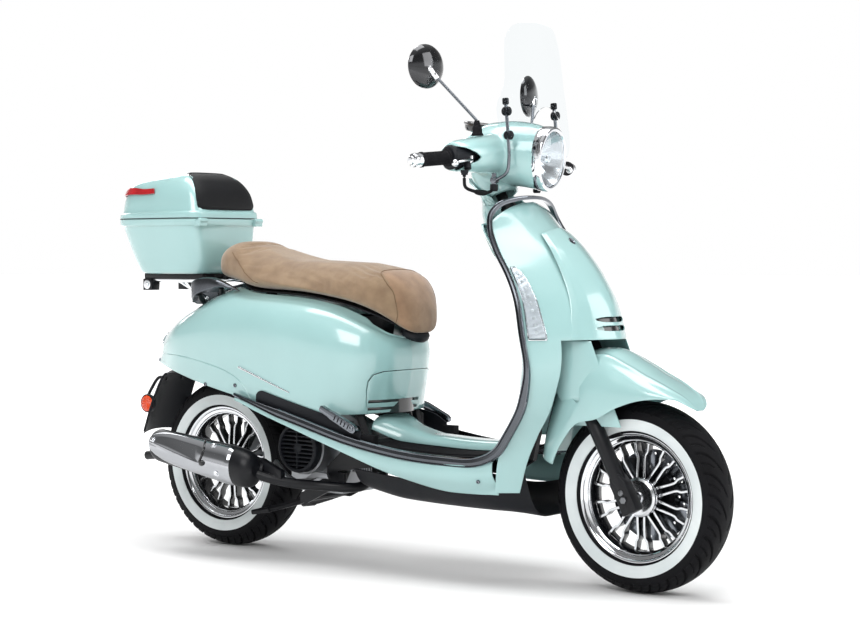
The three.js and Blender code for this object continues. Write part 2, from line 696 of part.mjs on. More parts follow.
function steeringStem() {
  const crown = loft([
    ring(steerLine(CROWN_D - 14), 30, 92, 'z', 14, 0.8),
    ring(steerLine(CROWN_D + 14), 30, 92, 'z', 14, 0.8),
  ].map((points) => points.map((p) => p.add(point(18, 0, 0)))));
  const steerer = rod(steerLine(CROWN_D), steerLine(880), 14);
  const legs = [-1, 1].map((side) => rod(forkLine(210, side * FORK_HALF_TRACK),
    forkLine(CROWN_D + 22, side * FORK_HALF_TRACK), 13, 13, 12));
  return join(crown, steerer, ...legs);
}

const BAR_POINTS = [[890, -340, 1026], [914, -232, 1036], [926, -150, 1045], [904, -60, 1052], [886, 0, 1052]];

function barPath(from, to) {
  const half = BAR_POINTS.map(([x, y, z]) => point(x, y, z));
  const other = half.slice(0, -1).reverse().map((p) => point(p.x, -p.y, p.z));
  return [...half, ...other].filter((p) => p.y >= from && p.y <= to);
}

function handlebar() {
  const bar = tube(barPath(-400, 400), 11, 16, 8);
  const clamp = cut(rod(steerLine(846), steerLine(945), 19, 19, 14), rod(steerLine(800), steerLine(881), 14.5));
  return join(bar, clamp);
}

const LAMP_TILT = THREE.MathUtils.degToRad(7);

// The housing round the headlight with its two arms, hollow inside.
const HEADSET_RINGS = [[824, 1076, 46, 26], [832, 1070, 70, 42], [858, 1063, 84, 62], [900, 1056, 90, 77],
  [950, 1053, 90, 81], [1000, 1046, 78, 81], [1034, 1039, 60, 78]];
const ARM_RINGS = [[50, 930, 1052, 48, 50], [110, 932, 1048, 47, 46], [170, 928, 1043, 42, 42],
  [208, 920, 1040, 38, 38], [226, 913, 1038, 30, 30]];

function headsetShell() {
  const body = (less) => loft(HEADSET_RINGS.map(([x, z, a, b]) => ring(point(x, 0, z), a - less, b - less, 'x', 14)));
  const arm = (sign, less, reach) => loft(ARM_RINGS.map(([y, x, z, a, b]) =>
    ring(point(x, sign * (y * (less ? 0.985 : 1) + reach), z), a - less, b - less, 'y', 10)));
  const neck = rod(steerLine(812), steerLine(868), 47, 52, 16);
  const hollow = [body(SHELL), arm(1, SHELL, 0), arm(-1, SHELL, 0)];
  const mouth = loft([ring(point(1000, 0, 1046), 55, 70, 'x', 18), ring(point(1050, 0, 1036), 55, 72, 'x', 18)]);
  const bore = rod(steerLine(790), steerLine(900), 30, 30, 12);
  const shell = cut(join(body(0), arm(1, 0, 0), arm(-1, 0, 0), neck), ...hollow, mouth, bore);
  const slots = [-1, 1].map((sign) => {
    const far = sign * 250;
    const near = sign * 176;
    return box(926, 990, Math.min(far, near), Math.max(far, near), 1012, 1054);
  });
  const ends = [-1, 1].map((sign) => rod(point(911, sign * 200, 1038), point(911, sign * 260, 1034), 21));
  const pod = loft([ring(point(838, 0, 1090), 42, 53, 'z', 16), ring(point(862, 0, 1180), 42, 53, 'z', 16)]);
  const face = box(0, 80, -120, 120, -120, 120).rotateY(LAMP_TILT).translate(1036, 0, 1037);
  return mainPiece(cut(shell, ...slots, ...ends, pod, face));
}

function headlight() {
  const levels = [[-34, 0.5, 0.5], [-10, 0.8, 0.8], [-9, 1.0, 1.0], [14, 1, 1], [18, 0.9, 0.9], [25, 0.3, 0.3]];
  const rings = levels.map(([x, a, b]) => ring(point(x, 0, 0), 57 * a, 75 * b, 'x', 20));
  return loft(rings).rotateY(LAMP_TILT).translate(1046, 0, 1037);
}

function instrumentCluster() {
  const levels = [[1112, 36, 47], [1128, 37, 48], [1134, 36, 47], [1137, 30, 42]];
  const rings = levels.map(([z, a, b], i) => ring(point(848 + i, 0, z), a, b, 'z', 16));
  return loft(rings);
}

// ---------------------------------------------------------------- windscreen
const screenMiddleX = through([[1042, 1063], [1160, 1046], [1290, 1030], [1371, 1016]]);

function windscreen() {
  const surface = (u, v) => {
    const side = 2 * u - 1;
    const top = 1371 - 14 * side ** 2 - 30 * side ** 10;
    const low = 1042 + through([[0, 0], [0.4, 0], [0.75, 25], [1, 70]])(Math.abs(side));
    const z = mix(top, low, v);
    const half = through([[1042, 152], [1120, 154], [1150, 154], [1222, 128], [1290, 121], [1336, 113],
      [1371, 106]])(z);
    const y = side * half;
    return point(screenMiddleX(z) - 0.0019 * y ** 2, y, z);
  };
  const pane = sheet(surface, 12, 8, -SHELL);
  const arch = loft([1000, 1200].map((x) => {
    const outline = [point(x, 64, 900)];
    for (let i = 0; i <= 8; i += 1) {
      const angle = (Math.PI * i) / 8;
      outline.push(point(x, 64 * Math.cos(angle), 1098 + 66 * Math.sin(angle)));
    }
    outline.push(point(x, -64, 900));
    return outline;
  }));
  return cut(pane, arch);
}

function screenRod(sign) {
  const path = tube([point(951, 92, 985), point(966, 97, 988), point(996, 103, 1004), point(1003, 105, 1036),
    point(1001, 106, 1092), point(993, 105, 1172)], 4, 10, 6);
  const cap = rod(point(993, 105, 1166), point(992, 105, 1180), 7, 7, 8);
  const lug = rod(point(951, 88, 985), point(951, 100, 985), 8, 8, 8);
  const clamps = [[1002, 1092], [996, 1150]].map(([x, z]) => rod(point(x - 8, 105, z), point(x + 7, 105, z), 10, 10, 8));
  const whole = join(path, cap, lug, ...clamps);
  return sign > 0 ? whole : mirrored(whole);
}

// ---------------------------------------------------------------- mirrors, grips and levers
const MIRROR_BASE = point(917, 119, 1114.5);

// A mirror on its stem; end is the upper end of the stem.
function mirror(sign, end) {
  const near = (x, y, z) => end.clone().add(point(x, y, z));
  const stem = tube([MIRROR_BASE.clone().add(point(1, -1, -18)), MIRROR_BASE, MIRROR_BASE.clone().lerp(end, 0.2), end],
    4, 7, 6);
  const boot = rod(MIRROR_BASE.clone().add(point(1, -1, -20)), MIRROR_BASE.clone().add(point(0, 0, 16)), 13, 6, 8);
  const neck = rod(near(2, -2, -3), near(-12, 12, 12), 7, 9, 8);
  const head = round([[0, 0], [50, 0], [54, 5], [52, 12], [38, 19], [0, 24]], 0, 0, 20);
  head.rotateZ(-Math.PI / 2);
  head.rotateZ(THREE.MathUtils.degToRad(14));
  head.translate(end.x - 26, end.y + 8, end.z + 23);
  const whole = join(stem, boot, neck, head);
  return sign > 0 ? whole : mirrored(whole);
}

function grip(sign, from = 233, to = 338) {
  const at = (y) => point(mix(914, 890, (y - 232) / 108), sign * y, mix(1036, 1026, (y - 232) / 108));
  const body = join(rod(at(from), at(from + 6), 21, 21, 12), rod(at(from + 5), at(308), 16.5, 16.5, 12),
    rod(at(307), at(to + 12), 17.5, 15, 12));
  return cut(body, rod(at(from - 10), at(to + 4), 13, 13, 10));
}

const LEVER_PIVOT = [946, 186];      // x, half distance

function brakeLever(sign) {
  const [px, py] = LEVER_PIVOT;
  const blade = tube([point(px, py, 1032), point(px + 6, 206, 1030), point(px + 8, 226, 1026),
    point(px + 2, 244, 1022)], 5, 5, 6);
  const ball = new THREE.SphereGeometry(8, 8, 6).translate(px + 1, 248, 1021);
  const pivot = rod(point(px, py, 1024), point(px, py, 1040), 8, 8, 8);
  const whole = join(blade, ball, pivot);
  return sign > 0 ? whole : mirrored(whole);
}

const HOSE_ROUTE = [[948, -212, 1004], [948, -213, 984], [946, -206, 966], [950, -176, 956], [952, -140, 953],
  [946, -104, 957], [934, -72, 966], [924, -47, 971]];
const brakeHose = () => tube(HOSE_ROUTE.map(([x, y, z]) => point(x, y, z)), 4, 16, 8);

// ---------------------------------------------------------------- fork, wheels
function forkSlider(sign) {
  const y = sign * FORK_HALF_TRACK;
  const leg = rod(forkLine(-18, y), forkLine(330, y), 18, 18, 14);
  const foot = loft([ring(forkLine(-30, y), 19, 17, 'z', 10), ring(forkLine(30, y), 23, 19, 'z', 10)]);
  const bore = rod(forkLine(60, y), forkLine(340, y), 14, 14, 12);
  const body = cut(join(leg, foot), bore);
  if (sign < 0) return join(body, disc(8, -70, 54, ...FRONT_AXLE, 10));
  return body;
}

function frontCaliper() {
  const body = box(1236, 1272, 35, 62, 258, 314);
  const arm = box(1250, 1306, 48, 62, 258, 288);
  const slit = disc(113, 40, 47, ...FRONT_AXLE, 24);
  const leg = rod(forkLine(-60, FORK_HALF_TRACK), forkLine(340, FORK_HALF_TRACK), 24.5);
  return mainPiece(cut(join(body, arm), slit, leg));
}

const PATCH_HALF = 20;              // half width of the tread band that meets the ground
const TYRE_SIDES = 26;

function tyre(x, radius, width) {
  const half = width / 2;
  const bead = RIM_R + 5;
  const wall = radius - bead;
  const outer = [[bead, half * 0.72], [bead + 0.45 * wall, half],
    [radius - 0.3 * wall, half * 0.93], [radius - 0.1 * wall, half * 0.68], [radius, PATCH_HALF]];
  const inner = [[bead, -half * 0.6], [bead + 0.5 * wall, -half * 0.84], [radius - 0.25 * wall, 0],
    [bead + 0.5 * wall, half * 0.84], [bead, half * 0.6]];
  const profile = [...outer, ...outer.map(([r, y]) => [r, -y]).reverse(), ...inner, [bead, half * 0.72]];
  const halfSide = Math.PI / TYRE_SIDES;
  const scaled = profile.map(([r, y]) => [r / Math.cos(halfSide), y]);
  return round(scaled, 0, 0, TYRE_SIDES).rotateY(halfSide).translate(x, 0, radius);
}

function rim(x, radius, edge) {
  const profile = [[RIM_R, edge], [RIM_R + 3, edge - 6], [130, edge - 20], [130, -edge + 20], [RIM_R + 3, -edge + 6],
    [RIM_R, -edge], [143, -edge + 1], [123, -edge + 18], [123, edge - 18], [143, edge - 1], [RIM_R, edge]];
  const barrel = round(profile, x, radius, 24);
  const hub = disc(44, -26, 26, x, radius, 20);
  const bore = disc(12, -60, 60, x, radius, 12);
  const spokes = [];
  for (let i = 0; i < 10; i += 1) {
    for (const side of [-1, 1]) {
      const middle = (i * Math.PI) / 5;
      const at = (r, turn) => point(x + r * Math.cos(middle + turn), 0, radius + r * Math.sin(middle + turn));
      spokes.push(rod(at(38, side * 0.14), at(126.5, side * 0.14), 5, 5, 4));
    }
  }
  return cut(join(barrel, hub, ...spokes), bore);
}

function brakeDisc() {
  const profile = [[46, 41], [110, 41], [110, 45], [46, 45], [46, 41]];
  const plateRing = round(profile, ...FRONT_AXLE, 24);
  const carrier = round([[14, 27], [50, 27], [50, 44], [14, 44], [14, 27]], ...FRONT_AXLE, 16);
  const holes = Array.from({ length: 8 }, (_, i) => {
    const angle = (i * Math.PI) / 4;
    return disc(6, 30, 60, FRONT_AXLE[0] + 84 * Math.cos(angle), FRONT_AXLE[1] + 84 * Math.sin(angle), 6);
  });
  return cut(join(plateRing, carrier), ...holes);
}

// ---------------------------------------------------------------- frame and stores
function frame() {
  const headTube = cut(rod(steerLine(500), steerLine(790), 24, 24, 12), rod(steerLine(480), steerLine(800), 17, 17, 12));
  const down = tube([point(1014, 0, 736), point(1010, 0, 640), point(1008, 0, 450), point(1006, 0, 340),
    point(985, 0, 288), point(940, 0, 270), point(880, 0, 270)], 16, 9, 6);
  const rails = [-1, 1].map((side) => tube([point(886, side * 84, 270), point(640, side * 86, 262),
    point(585, side * 100, 290), point(560, side * 112, 360), point(460, side * 116, 500),
    point(300, side * 114, 596), point(140, side * 98, 612), point(20, side * 84, 608),
    point(-60, side * 70, 600), point(-116, side * 50, 582)], 12, 14, 6));
  const crosses = [[886, 270, 86, 14], [640, 262, 88, 12], [533, 400, 113, 10], [-112, 583, 52, 10]]
    .map(([x, z, half, r]) => rod(point(x, -half, z), point(x, half, z), r, r, 6));
  const spine = rod(point(900, 0, 270), point(636, 0, 262), 11, 11, 6);
  const cradle = [-1, 1].map((side) => plate([[600, 262], [448, 240], [448, 214], [412, 214], [412, 250],
    [470, 300], [600, 300]], side > 0 ? 84 : -92, side > 0 ? 92 : -84));
  const pin = disc(7, -90, 90, ...SWING_PIVOT, 8);
  const standLugs = [-1, 1].map((side) => plate([[470, 236], [430, 236], [318, 172], [318, 148], [342, 148],
    [470, 210]], side > 0 ? 84.5 : -91.5, side > 0 ? 91.5 : -84.5));
  const shockLug = box(4, 36, 74, 100, 592, 622);
  return cut(join(down, ...rails, ...crosses, spine, headTube, ...cradle, pin, ...standLugs, shockLug),
    rod(steerLine(480), steerLine(800), 17, 17, 12));
}

function fuelTank() {
  const levels = [[520, 116, 58], [532, 126, 66], [596, 124, 66], [612, 106, 54]];
  const tank = loft(levels.map(([z, a, b]) => ring(point(76, 0, z), a, b, 'z', 16, 0.5)));
  return join(tank, rod(point(130, 0, 600), point(130, 0, 650), 26, 26, 12));
}

function storageBucket() {
  const shape = (levels) => loft(levels.map(([z, a, b]) => ring(point(392, 0, z), a, b, 'z', 16, 0.5)));
  const outer = shape([[440, 96, 70], [460, 112, 84], [644, 136, 96]]);
  const inner = shape([[444, 92, 66], [462, 108, 80], [700, 137, 93]]);
  return cut(outer, inner);
}

// ---------------------------------------------------------------- engine unit
const CRANK = [346, 298];           // x, z of the crankshaft

function engineCase() {
  const block = plate([[262, 196], [300, 176], [440, 176], [470, 244], [548, 246], [548, 316], [470, 330],
    [300, 356], [262, 330]], -62, 66);
  const housing = disc(72, -112, -60, ...CRANK, 24);
  const cvt = plate([[-40, 190], [0, 172], [60, 178], [346, 212], [404, 236], [430, 298], [404, 350],
    [346, 374], [200, 356], [40, 302], [-30, 286], [-58, 231]], 72, 132);
  const axle = disc(11, -50, 80, 0, REAR_TYRE_R, 12);
  const boss = box(-36, -4, 74, 90.5, 270, 334);
  const pinHole = disc(9, -200, 200, ...SWING_PIVOT, 12);
  return cut(join(block, housing, cvt, axle, boss, box(340, 440, 60, 80, 200, 320)), pinHole,
    box(404, 472, 80, 96, 130, 320), box(404, 472, -96, -61, 130, 320));
}

const fanCover = () => cut(disc(66, -138, -112.4, ...CRANK, 24),
  ...[-36, -18, 0, 18, 36].map((step) => box(CRANK[0] - 44, CRANK[0] + 44, -150, -132, CRANK[1] + step - 4,
    CRANK[1] + step + 4)));

const MUFFLER_Y = -205;
const mufflerZ = (x) => mix(246, 288, (204 - x) / 300);    // the silencer rises towards its tail

function exhaust() {
  const header = tube([point(512, -30, 245), point(514, -36, 220), point(504, -64, 201), point(484, -100, 200),
    point(440, -132, 204), point(370, -154, 206), point(300, -178, 216), point(240, MUFFLER_Y + 4, 234),
    point(196, MUFFLER_Y, 246)], 13, 13, 6);
  const can = loft([[-100, 30, 32], [-92, 38, 41], [-40, 42, 46], [130, 43, 51], [200, 43, 52], [244, 40, 48],
    [266, 20, 20]]
    .map(([x, a, b]) => ring(point(x, MUFFLER_Y, mufflerZ(x)), a, b, 'x', 16)));
  const tail = rod(point(-84, MUFFLER_Y - 4, 262), point(-132, MUFFLER_Y - 6, 256), 12, 12, 10);
  const arm = box(262, 330, -170, -152, 214, 258);
  const brace = box(180, 300, -190, -156, 236, 262);
  const bolt = rod(point(296, -170, 226), point(296, -62.4, 226), 8, 8, 8);
  const block = grown(engineCase(), 0.5);
  return mainPiece(cut(join(header, can, tail, arm, brace, bolt), block));
}

function heatShield() {
  const surface = (u, v) => {
    const x = mix(-94, 205, u);
    const angle = mix(-1.2, 1.3, v);
    const a = through([[-94, 42], [-30, 47], [130, 48], [205, 48]])(x);
    const b = through([[-94, 45], [-30, 52], [130, 56], [205, 57]])(x);
    return point(x, MUFFLER_Y - a * Math.cos(angle), mufflerZ(x) + b * Math.sin(angle));
  };
  return sheet(surface, 8, 6, -1.5);
}

function kickLever() {
  const arm = tube([point(128, 150, 214), point(180, 158, 206), point(236, 160, 204), point(280, 162, 214)],
    7, 5, 6);
  const boss = rod(point(128, 132.6, 214), point(128, 160, 214), 14, 14, 10);
  const pedal = rod(point(276, 156, 214), point(276, 206, 214), 8, 8, 8);
  return join(arm, boss, pedal);
}

// The rear damper: its lower half stands on the engine unit, its upper half hangs from the frame.
const DAMPER_LOW = point(-20, 105, 318);
const DAMPER_HIGH = point(20, 105, 604);
const onDamper = (t) => DAMPER_LOW.clone().lerp(DAMPER_HIGH, t);

function damperLower() {
  const eye = disc(12, 91, 119, DAMPER_LOW.x, DAMPER_LOW.z, 12);
  const tubeBody = rod(onDamper(0), onDamper(0.24), 14, 14, 12);
  const spring = rod(onDamper(0.2), onDamper(0.7), 24, 24, 14);
  return cut(join(eye, tubeBody, spring), rod(onDamper(0.27), onDamper(0.8), 11, 11, 10));
}

function damperUpper() {
  const eye = disc(12, 100.5, 119, DAMPER_HIGH.x, DAMPER_HIGH.z, 12);
  const cup = cut(rod(onDamper(0.58), onDamper(0.93), 32, 32, 16), rod(onDamper(0.5), onDamper(0.9), 29, 29, 16));
  return join(eye, cup, rod(onDamper(0.46), onDamper(1), 5, 5, 8));
}

// ---------------------------------------------------------------- stand and pegs
function centreStand() {
  const [px, pz] = STAND_PIVOT;
  const leg = (side) => tube([point(px, side * 70, pz), point(px - 50, side * 73, pz - 16),
    point(px - 105, side * 84, pz - 32), point(px - 148, side * 98, pz - 42)], 9, 5, 6);
  const foot = (side) => rod(point(px - 120, side * 92, pz - 37), point(px - 172, side * 104, pz - 47), 9, 7, 8);
  const bar = rod(point(px, -83, pz), point(px, 83, pz), 9, 9, 8);
  const web = box(px - 56, px - 40, -74, 74, pz - 22, pz - 12);
  return join(leg(1), leg(-1), foot(1), foot(-1), bar, web);
}

function footpeg(sign) {
  const angle = THREE.MathUtils.degToRad(25);
  const bar = box(-118, 0, 0, 15, -11, 11);
  const barrel = disc(12, 0, 15, -2, 0, 12);
  const peg = join(bar, barrel).rotateY(angle).translate(588, 190, 364);
  return sign > 0 ? peg : mirrored(peg);
}

// ---------------------------------------------------------------- assembly
add('leg_shield', legShield(), PAINT);
add('inner_shield', innerShield(), PAINT);
add('horn_cover', hornCover(), PAINT);
add('front_fender', frontFender(), PAINT);
add('shield_trim', shieldTrim(), CHROME);
add('side_skirt_right', sideSkirt(-1), PAINT);
add('side_skirt_left', sideSkirt(1), PAINT);
add('turn_signal_right', turnSignal(-1), CLEAR);
add('turn_signal_left', turnSignal(1), CLEAR);
add('glovebox_door', gloveboxDoor(), PAINT);
add('belly_pan', bellyPan(), BLACK);
add('floorboard', floorboard(), BLACK);
add('floor_tunnel', floorTunnel(), PAINT);
add('rear_cowl', rearCowl(), PAINT);
add('seat_pedestal', seatPedestal(), PAINT);
add('tail_lamp', tailLamp(), RED);
add('rear_mudguard', rearMudguard(), BLACK);
add('seat_pad', seatPad(), SUEDE);
add('seat_base', seatBase(), BLACK);
add('topcase_base', caseBase(), PAINT);
add('topcase_lid', caseLid(), PAINT);
add('backrest_pad', backrest(), BLACK);
add('luggage_rack', luggageRack(), CHROME);
add('grab_rail', grabRail(), GUNMETAL);
add('steering_stem', steeringStem(), BLACK);
add('handlebar', handlebar(), STEEL);
add('headset_shell', headsetShell(), PAINT);
add('headlight', headlight(), CHROME);
add('instrument_cluster', instrumentCluster(), BLACK);
add('windscreen', windscreen(), CLEAR);
add('screen_rod_right', screenRod(-1), CHROME);
add('screen_rod_left', screenRod(1), CHROME);
add('mirror_right', mirror(-1, point(844, 190, 1238.5)), CHROME);
add('mirror_left', mirror(1, point(848, 228, 1192.5)), CHROME);
add('throttle_grip', grip(-1), RUBBER);
add('left_grip', grip(1), RUBBER);
add('brake_lever_right', brakeLever(-1), SILVER);
add('brake_lever_left', brakeLever(1), SILVER);
add('brake_hose', brakeHose(), RUBBER);
add('fork_slider_right', forkSlider(-1), BLACK);
add('fork_slider_left', forkSlider(1), BLACK);
add('front_caliper', frontCaliper(), STEEL);
add('front_rim', rim(...FRONT_AXLE, 40), SILVER);
add('front_tyre', tyre(...FRONT_AXLE, FRONT_TYRE_WIDTH), RUBBER);
add('front_brake_disc', brakeDisc(), STEEL);
add('rear_rim', rim(0, REAR_TYRE_R, 44), SILVER);
add('rear_tyre', tyre(0, REAR_TYRE_R, REAR_TYRE_WIDTH), RUBBER);

add('frame', frame(), BLACK);
add('fuel_tank', fuelTank(), BLACK);
add('storage_bucket', storageBucket(), BLACK);
add('engine_case', engineCase(), STEEL);
add('fan_cover', fanCover(), BLACK);
add('exhaust', exhaust(), BLACK);
add('heat_shield', heatShield(), CHROME);
add('kick_lever', kickLever(), STEEL);
add('rear_damper_lower', damperLower(), STEEL);
add('rear_damper_upper', damperUpper(), BLACK);
add('centre_stand', centreStand(), BLACK);
add('footpeg_right', footpeg(-1), CHROME);
add('footpeg_left', footpeg(1), CHROME);

export default vehicle;
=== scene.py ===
"""Looks of a classic-style scooter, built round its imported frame.
Lengths are in millimetres from the rear axle unless a name says otherwise: +X forward, +Y left, +Z up."""

import math

import bmesh
import bpy
import numpy as np
from mathutils import Matrix, Quaternion, Vector
from mathutils.bvhtree import BVHTree


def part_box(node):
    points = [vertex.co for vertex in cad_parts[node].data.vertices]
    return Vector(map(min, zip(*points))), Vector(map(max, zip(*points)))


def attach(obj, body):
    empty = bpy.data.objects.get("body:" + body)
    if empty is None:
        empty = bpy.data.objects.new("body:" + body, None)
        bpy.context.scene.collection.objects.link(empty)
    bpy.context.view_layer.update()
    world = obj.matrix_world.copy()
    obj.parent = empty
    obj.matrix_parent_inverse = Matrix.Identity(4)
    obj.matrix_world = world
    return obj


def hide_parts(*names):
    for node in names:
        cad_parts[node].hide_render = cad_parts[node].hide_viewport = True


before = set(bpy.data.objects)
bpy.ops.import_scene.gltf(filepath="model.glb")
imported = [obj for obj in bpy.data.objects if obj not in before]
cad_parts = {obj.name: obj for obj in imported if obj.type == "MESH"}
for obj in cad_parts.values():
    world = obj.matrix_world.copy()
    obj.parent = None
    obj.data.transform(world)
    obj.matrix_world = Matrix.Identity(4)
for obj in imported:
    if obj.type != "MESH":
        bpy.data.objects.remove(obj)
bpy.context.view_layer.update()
MM = 0.001
SIDES = (("right", -1), ("left", 1))


def middle(node):
    """The centre of a CAD node."""
    low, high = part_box(node)
    return (low + high) / 2


AXLE_X = middle("rear_rim").x
FRONT_R = middle("front_rim").z / MM
REAR_R = middle("rear_rim").z / MM
WHEELBASE = (middle("front_rim").x - AXLE_X) / MM


def at(x, y, z):
    """Millimetres from the rear axle to the frame's metres."""
    return Vector((AXLE_X + x * MM, y * MM, z * MM))


# ---------------------------------------------------------------- camera
def place_camera():
    """The camera fitted to the photograph."""
    azimuth, elevation, distance = math.radians(37.246), math.radians(1.907), 5.005
    level = math.cos(elevation)
    back = Vector((math.sin(azimuth) * level, -math.cos(azimuth) * level, math.sin(elevation)))
    data = bpy.data.cameras.new("camera")
    data.sensor_width = 36.0
    data.lens = 81.58
    data.clip_end = 200.0
    camera = bpy.data.objects.new("camera", data)
    camera.location = at(682, 0, 636) + back * distance
    turn = (-back).to_track_quat("-Z", "Y") @ Quaternion((0, 0, 1), math.radians(-0.13))
    camera.rotation_mode = "QUATERNION"
    camera.rotation_quaternion = turn
    bpy.context.scene.collection.objects.link(camera)
    bpy.context.scene.camera = camera


place_camera()


# ---------------------------------------------------------------- materials
def linear(rgb):
    """Screen colour, 0 to 255, to linear light."""
    return [(c / 255 / 12.92 if c <= 10 else ((c / 255 + 0.055) / 1.055) ** 2.4) for c in rgb]


def finish(name, rgb, rough, metal=0.0, coat=0.0, tone=0.06, tone_scale=6.0, grain=0.0, grain_scale=900.0,
           uneven=0.03, sheen=0.0, transmission=0.0, ior=1.5, stretch=(1, 1, 1), second=None, alpha=1.0,
           fine=2.0):
    """A surface with drifting tone, uneven gloss and a fine relief; grain is its depth in millimetres."""
    material = bpy.data.materials.new(name)
    material.use_nodes = True
    nodes, links = material.node_tree.nodes, material.node_tree.links
    skin = nodes["Principled BSDF"]
    skin.inputs["Metallic"].default_value = metal
    skin.inputs["Coat Weight"].default_value = coat
    skin.inputs["Coat Roughness"].default_value = 0.09
    skin.inputs["Sheen Weight"].default_value = sheen
    skin.inputs["Sheen Roughness"].default_value = 0.5
    skin.inputs["Transmission Weight"].default_value = transmission
    skin.inputs["IOR"].default_value = ior
    skin.inputs["Alpha"].default_value = alpha
    place = nodes.new("ShaderNodeTexCoord")
    scale = nodes.new("ShaderNodeMapping")
    scale.inputs["Scale"].default_value = stretch
    links.new(place.outputs["Object"], scale.inputs["Vector"])

    def noise(size, detail):
        field = nodes.new("ShaderNodeTexNoise")
        field.inputs["Scale"].default_value = size
        field.inputs["Detail"].default_value = detail
        links.new(scale.outputs["Vector"], field.inputs["Vector"])
        return field.outputs["Fac"]

    colour = linear(rgb)
    other = linear(second) if second else [c * (1 - tone) for c in colour]
    blend = nodes.new("ShaderNodeMix")
    blend.data_type = "RGBA"
    blend.inputs["A"].default_value = [*other, 1]
    blend.inputs["B"].default_value = [*[min(1, c * (1 + tone * 0.6)) for c in colour], 1]
    spread = nodes.new("ShaderNodeMapRange")
    spread.inputs["From Min"].default_value = 0.32
    spread.inputs["From Max"].default_value = 0.68
    links.new(noise(tone_scale, 5), spread.inputs["Value"])
    links.new(spread.outputs["Result"], blend.inputs["Factor"])
    links.new(blend.outputs["Result"], skin.inputs["Base Color"])
    gloss = nodes.new("ShaderNodeMapRange")
    gloss.inputs["To Min"].default_value = max(0.0, rough - uneven)
    gloss.inputs["To Max"].default_value = min(1.0, rough + uneven)
    links.new(noise(tone_scale * 4, 3), gloss.inputs["Value"])
    links.new(gloss.outputs["Result"], skin.inputs["Roughness"])
    if grain:
        bump = nodes.new("ShaderNodeBump")
        bump.inputs["Distance"].default_value = grain * MM
        links.new(noise(grain_scale, fine), bump.inputs["Height"])
        links.new(bump.outputs["Normal"], skin.inputs["Normal"])
    return material


PAINT = finish("mint_lacquer", (151, 188, 187), 0.2, coat=1.0, tone=0.03, grain=0.02, grain_scale=260)
# A darker, matt copy of the mint paint: painted shade for the gap along the headset seam.
SEAM_SHADE_PAINT = finish("mint_painted_seam_shade", (126, 160, 160), 0.5, tone=0.06, grain=0.04)
BLACK = finish("black_plastic", (20, 22, 27), 0.5, ior=1.3, tone=0.2, grain=0.12, grain_scale=1500,
               uneven=0.08)
GLOSS_BLACK = finish("black_gloss", (12, 13, 16), 0.2, coat=0.5, tone=0.2)
SATIN_BLACK = finish("black_paint", (16, 17, 21), 0.38, ior=1.35, tone=0.25, grain=0.05, grain_scale=700,
                     uneven=0.08)
RUBBER = finish("rubber", (17, 17, 20), 0.72, ior=1.25, tone=0.3, grain=0.1, grain_scale=1800, uneven=0.1)
TYRE = finish("tyre_rubber", (13, 13, 16), 0.6, ior=1.22, tone=0.35, tone_scale=14, grain=0.1,
              grain_scale=1300, uneven=0.12)
WHITEWALL = finish("whitewall", (214, 220, 220), 0.5, tone=0.06, tone_scale=9, grain=0.05,
                   second=(198, 206, 207))
CHROME = finish("chrome", (228, 230, 233), 0.06, metal=1.0, tone=0.03, uneven=0.03)
SHIELD_CHROME = finish("shield_chrome", (176, 178, 182), 0.1, metal=1.0, tone=0.06, uneven=0.04)
DARK_CHROME = finish("dark_chrome", (118, 122, 128), 0.12, metal=1.0, tone=0.1, uneven=0.05)
GUNMETAL = finish("gunmetal", (96, 99, 104), 0.24, metal=1.0, tone=0.15, uneven=0.06, grain=0.03)
STEEL = finish("steel", (128, 130, 133), 0.34, metal=1.0, tone=0.2, uneven=0.1, grain=0.03)
ALLOY = finish("cast_alloy", (150, 152, 155), 0.42, metal=1.0, tone=0.15, uneven=0.1, grain=0.12,
               grain_scale=600)
MACHINED = finish("machined_alloy", (214, 216, 219), 0.2, metal=1.0, tone=0.06, uneven=0.05)
SUEDE = finish("tan_suede", (137, 115, 90), 0.88, tone=0.1, tone_scale=26, grain=0.25, grain_scale=1400,
               sheen=0.3, second=(122, 99, 76), uneven=0.05, fine=6)
PAD = finish("pad_vinyl", (13, 14, 17), 0.55, ior=1.3, tone=0.15, grain=0.14, grain_scale=900, uneven=0.06)
SUEDE_FRONT = finish("brown_suede", (146, 116, 90), 0.88, tone=0.1, tone_scale=26, grain=0.25,
                     grain_scale=1400, sheen=0.35, second=(128, 99, 75), uneven=0.05, fine=6)
THREAD = finish("thread", (112, 86, 62), 0.8, tone=0.2, grain=0.1)
CLEAR = finish("clear_screen", (248, 251, 252), 0.02, transmission=1.0, ior=1.02, tone=0.01, uneven=0.01)
LENS = finish("lamp_glass", (244, 248, 250), 0.03, transmission=1.0, ior=1.3, tone=0.01, uneven=0.02)
RED = finish("red_lens", (168, 10, 20), 0.16, coat=0.8, tone=0.2, tone_scale=30)
ORANGE = finish("orange_lens", (214, 66, 6), 0.2, coat=0.8, tone=0.15, tone_scale=40)
LED = finish("led", (236, 240, 244), 0.25, metal=0.4, tone=0.08, tone_scale=60)
MIRROR_BACK = finish("mirror_back", (34, 35, 38), 0.07, metal=0.8, coat=1.0, tone=0.1, uneven=0.03)
MIRROR = finish("mirror_glass", (210, 214, 218), 0.02, metal=1.0, tone=0.01, uneven=0.01)
DIAL = finish("dial_face", (18, 19, 24), 0.5, tone=0.1)
WHITE = finish("dial_marks", (226, 228, 230), 0.5, tone=0.04)


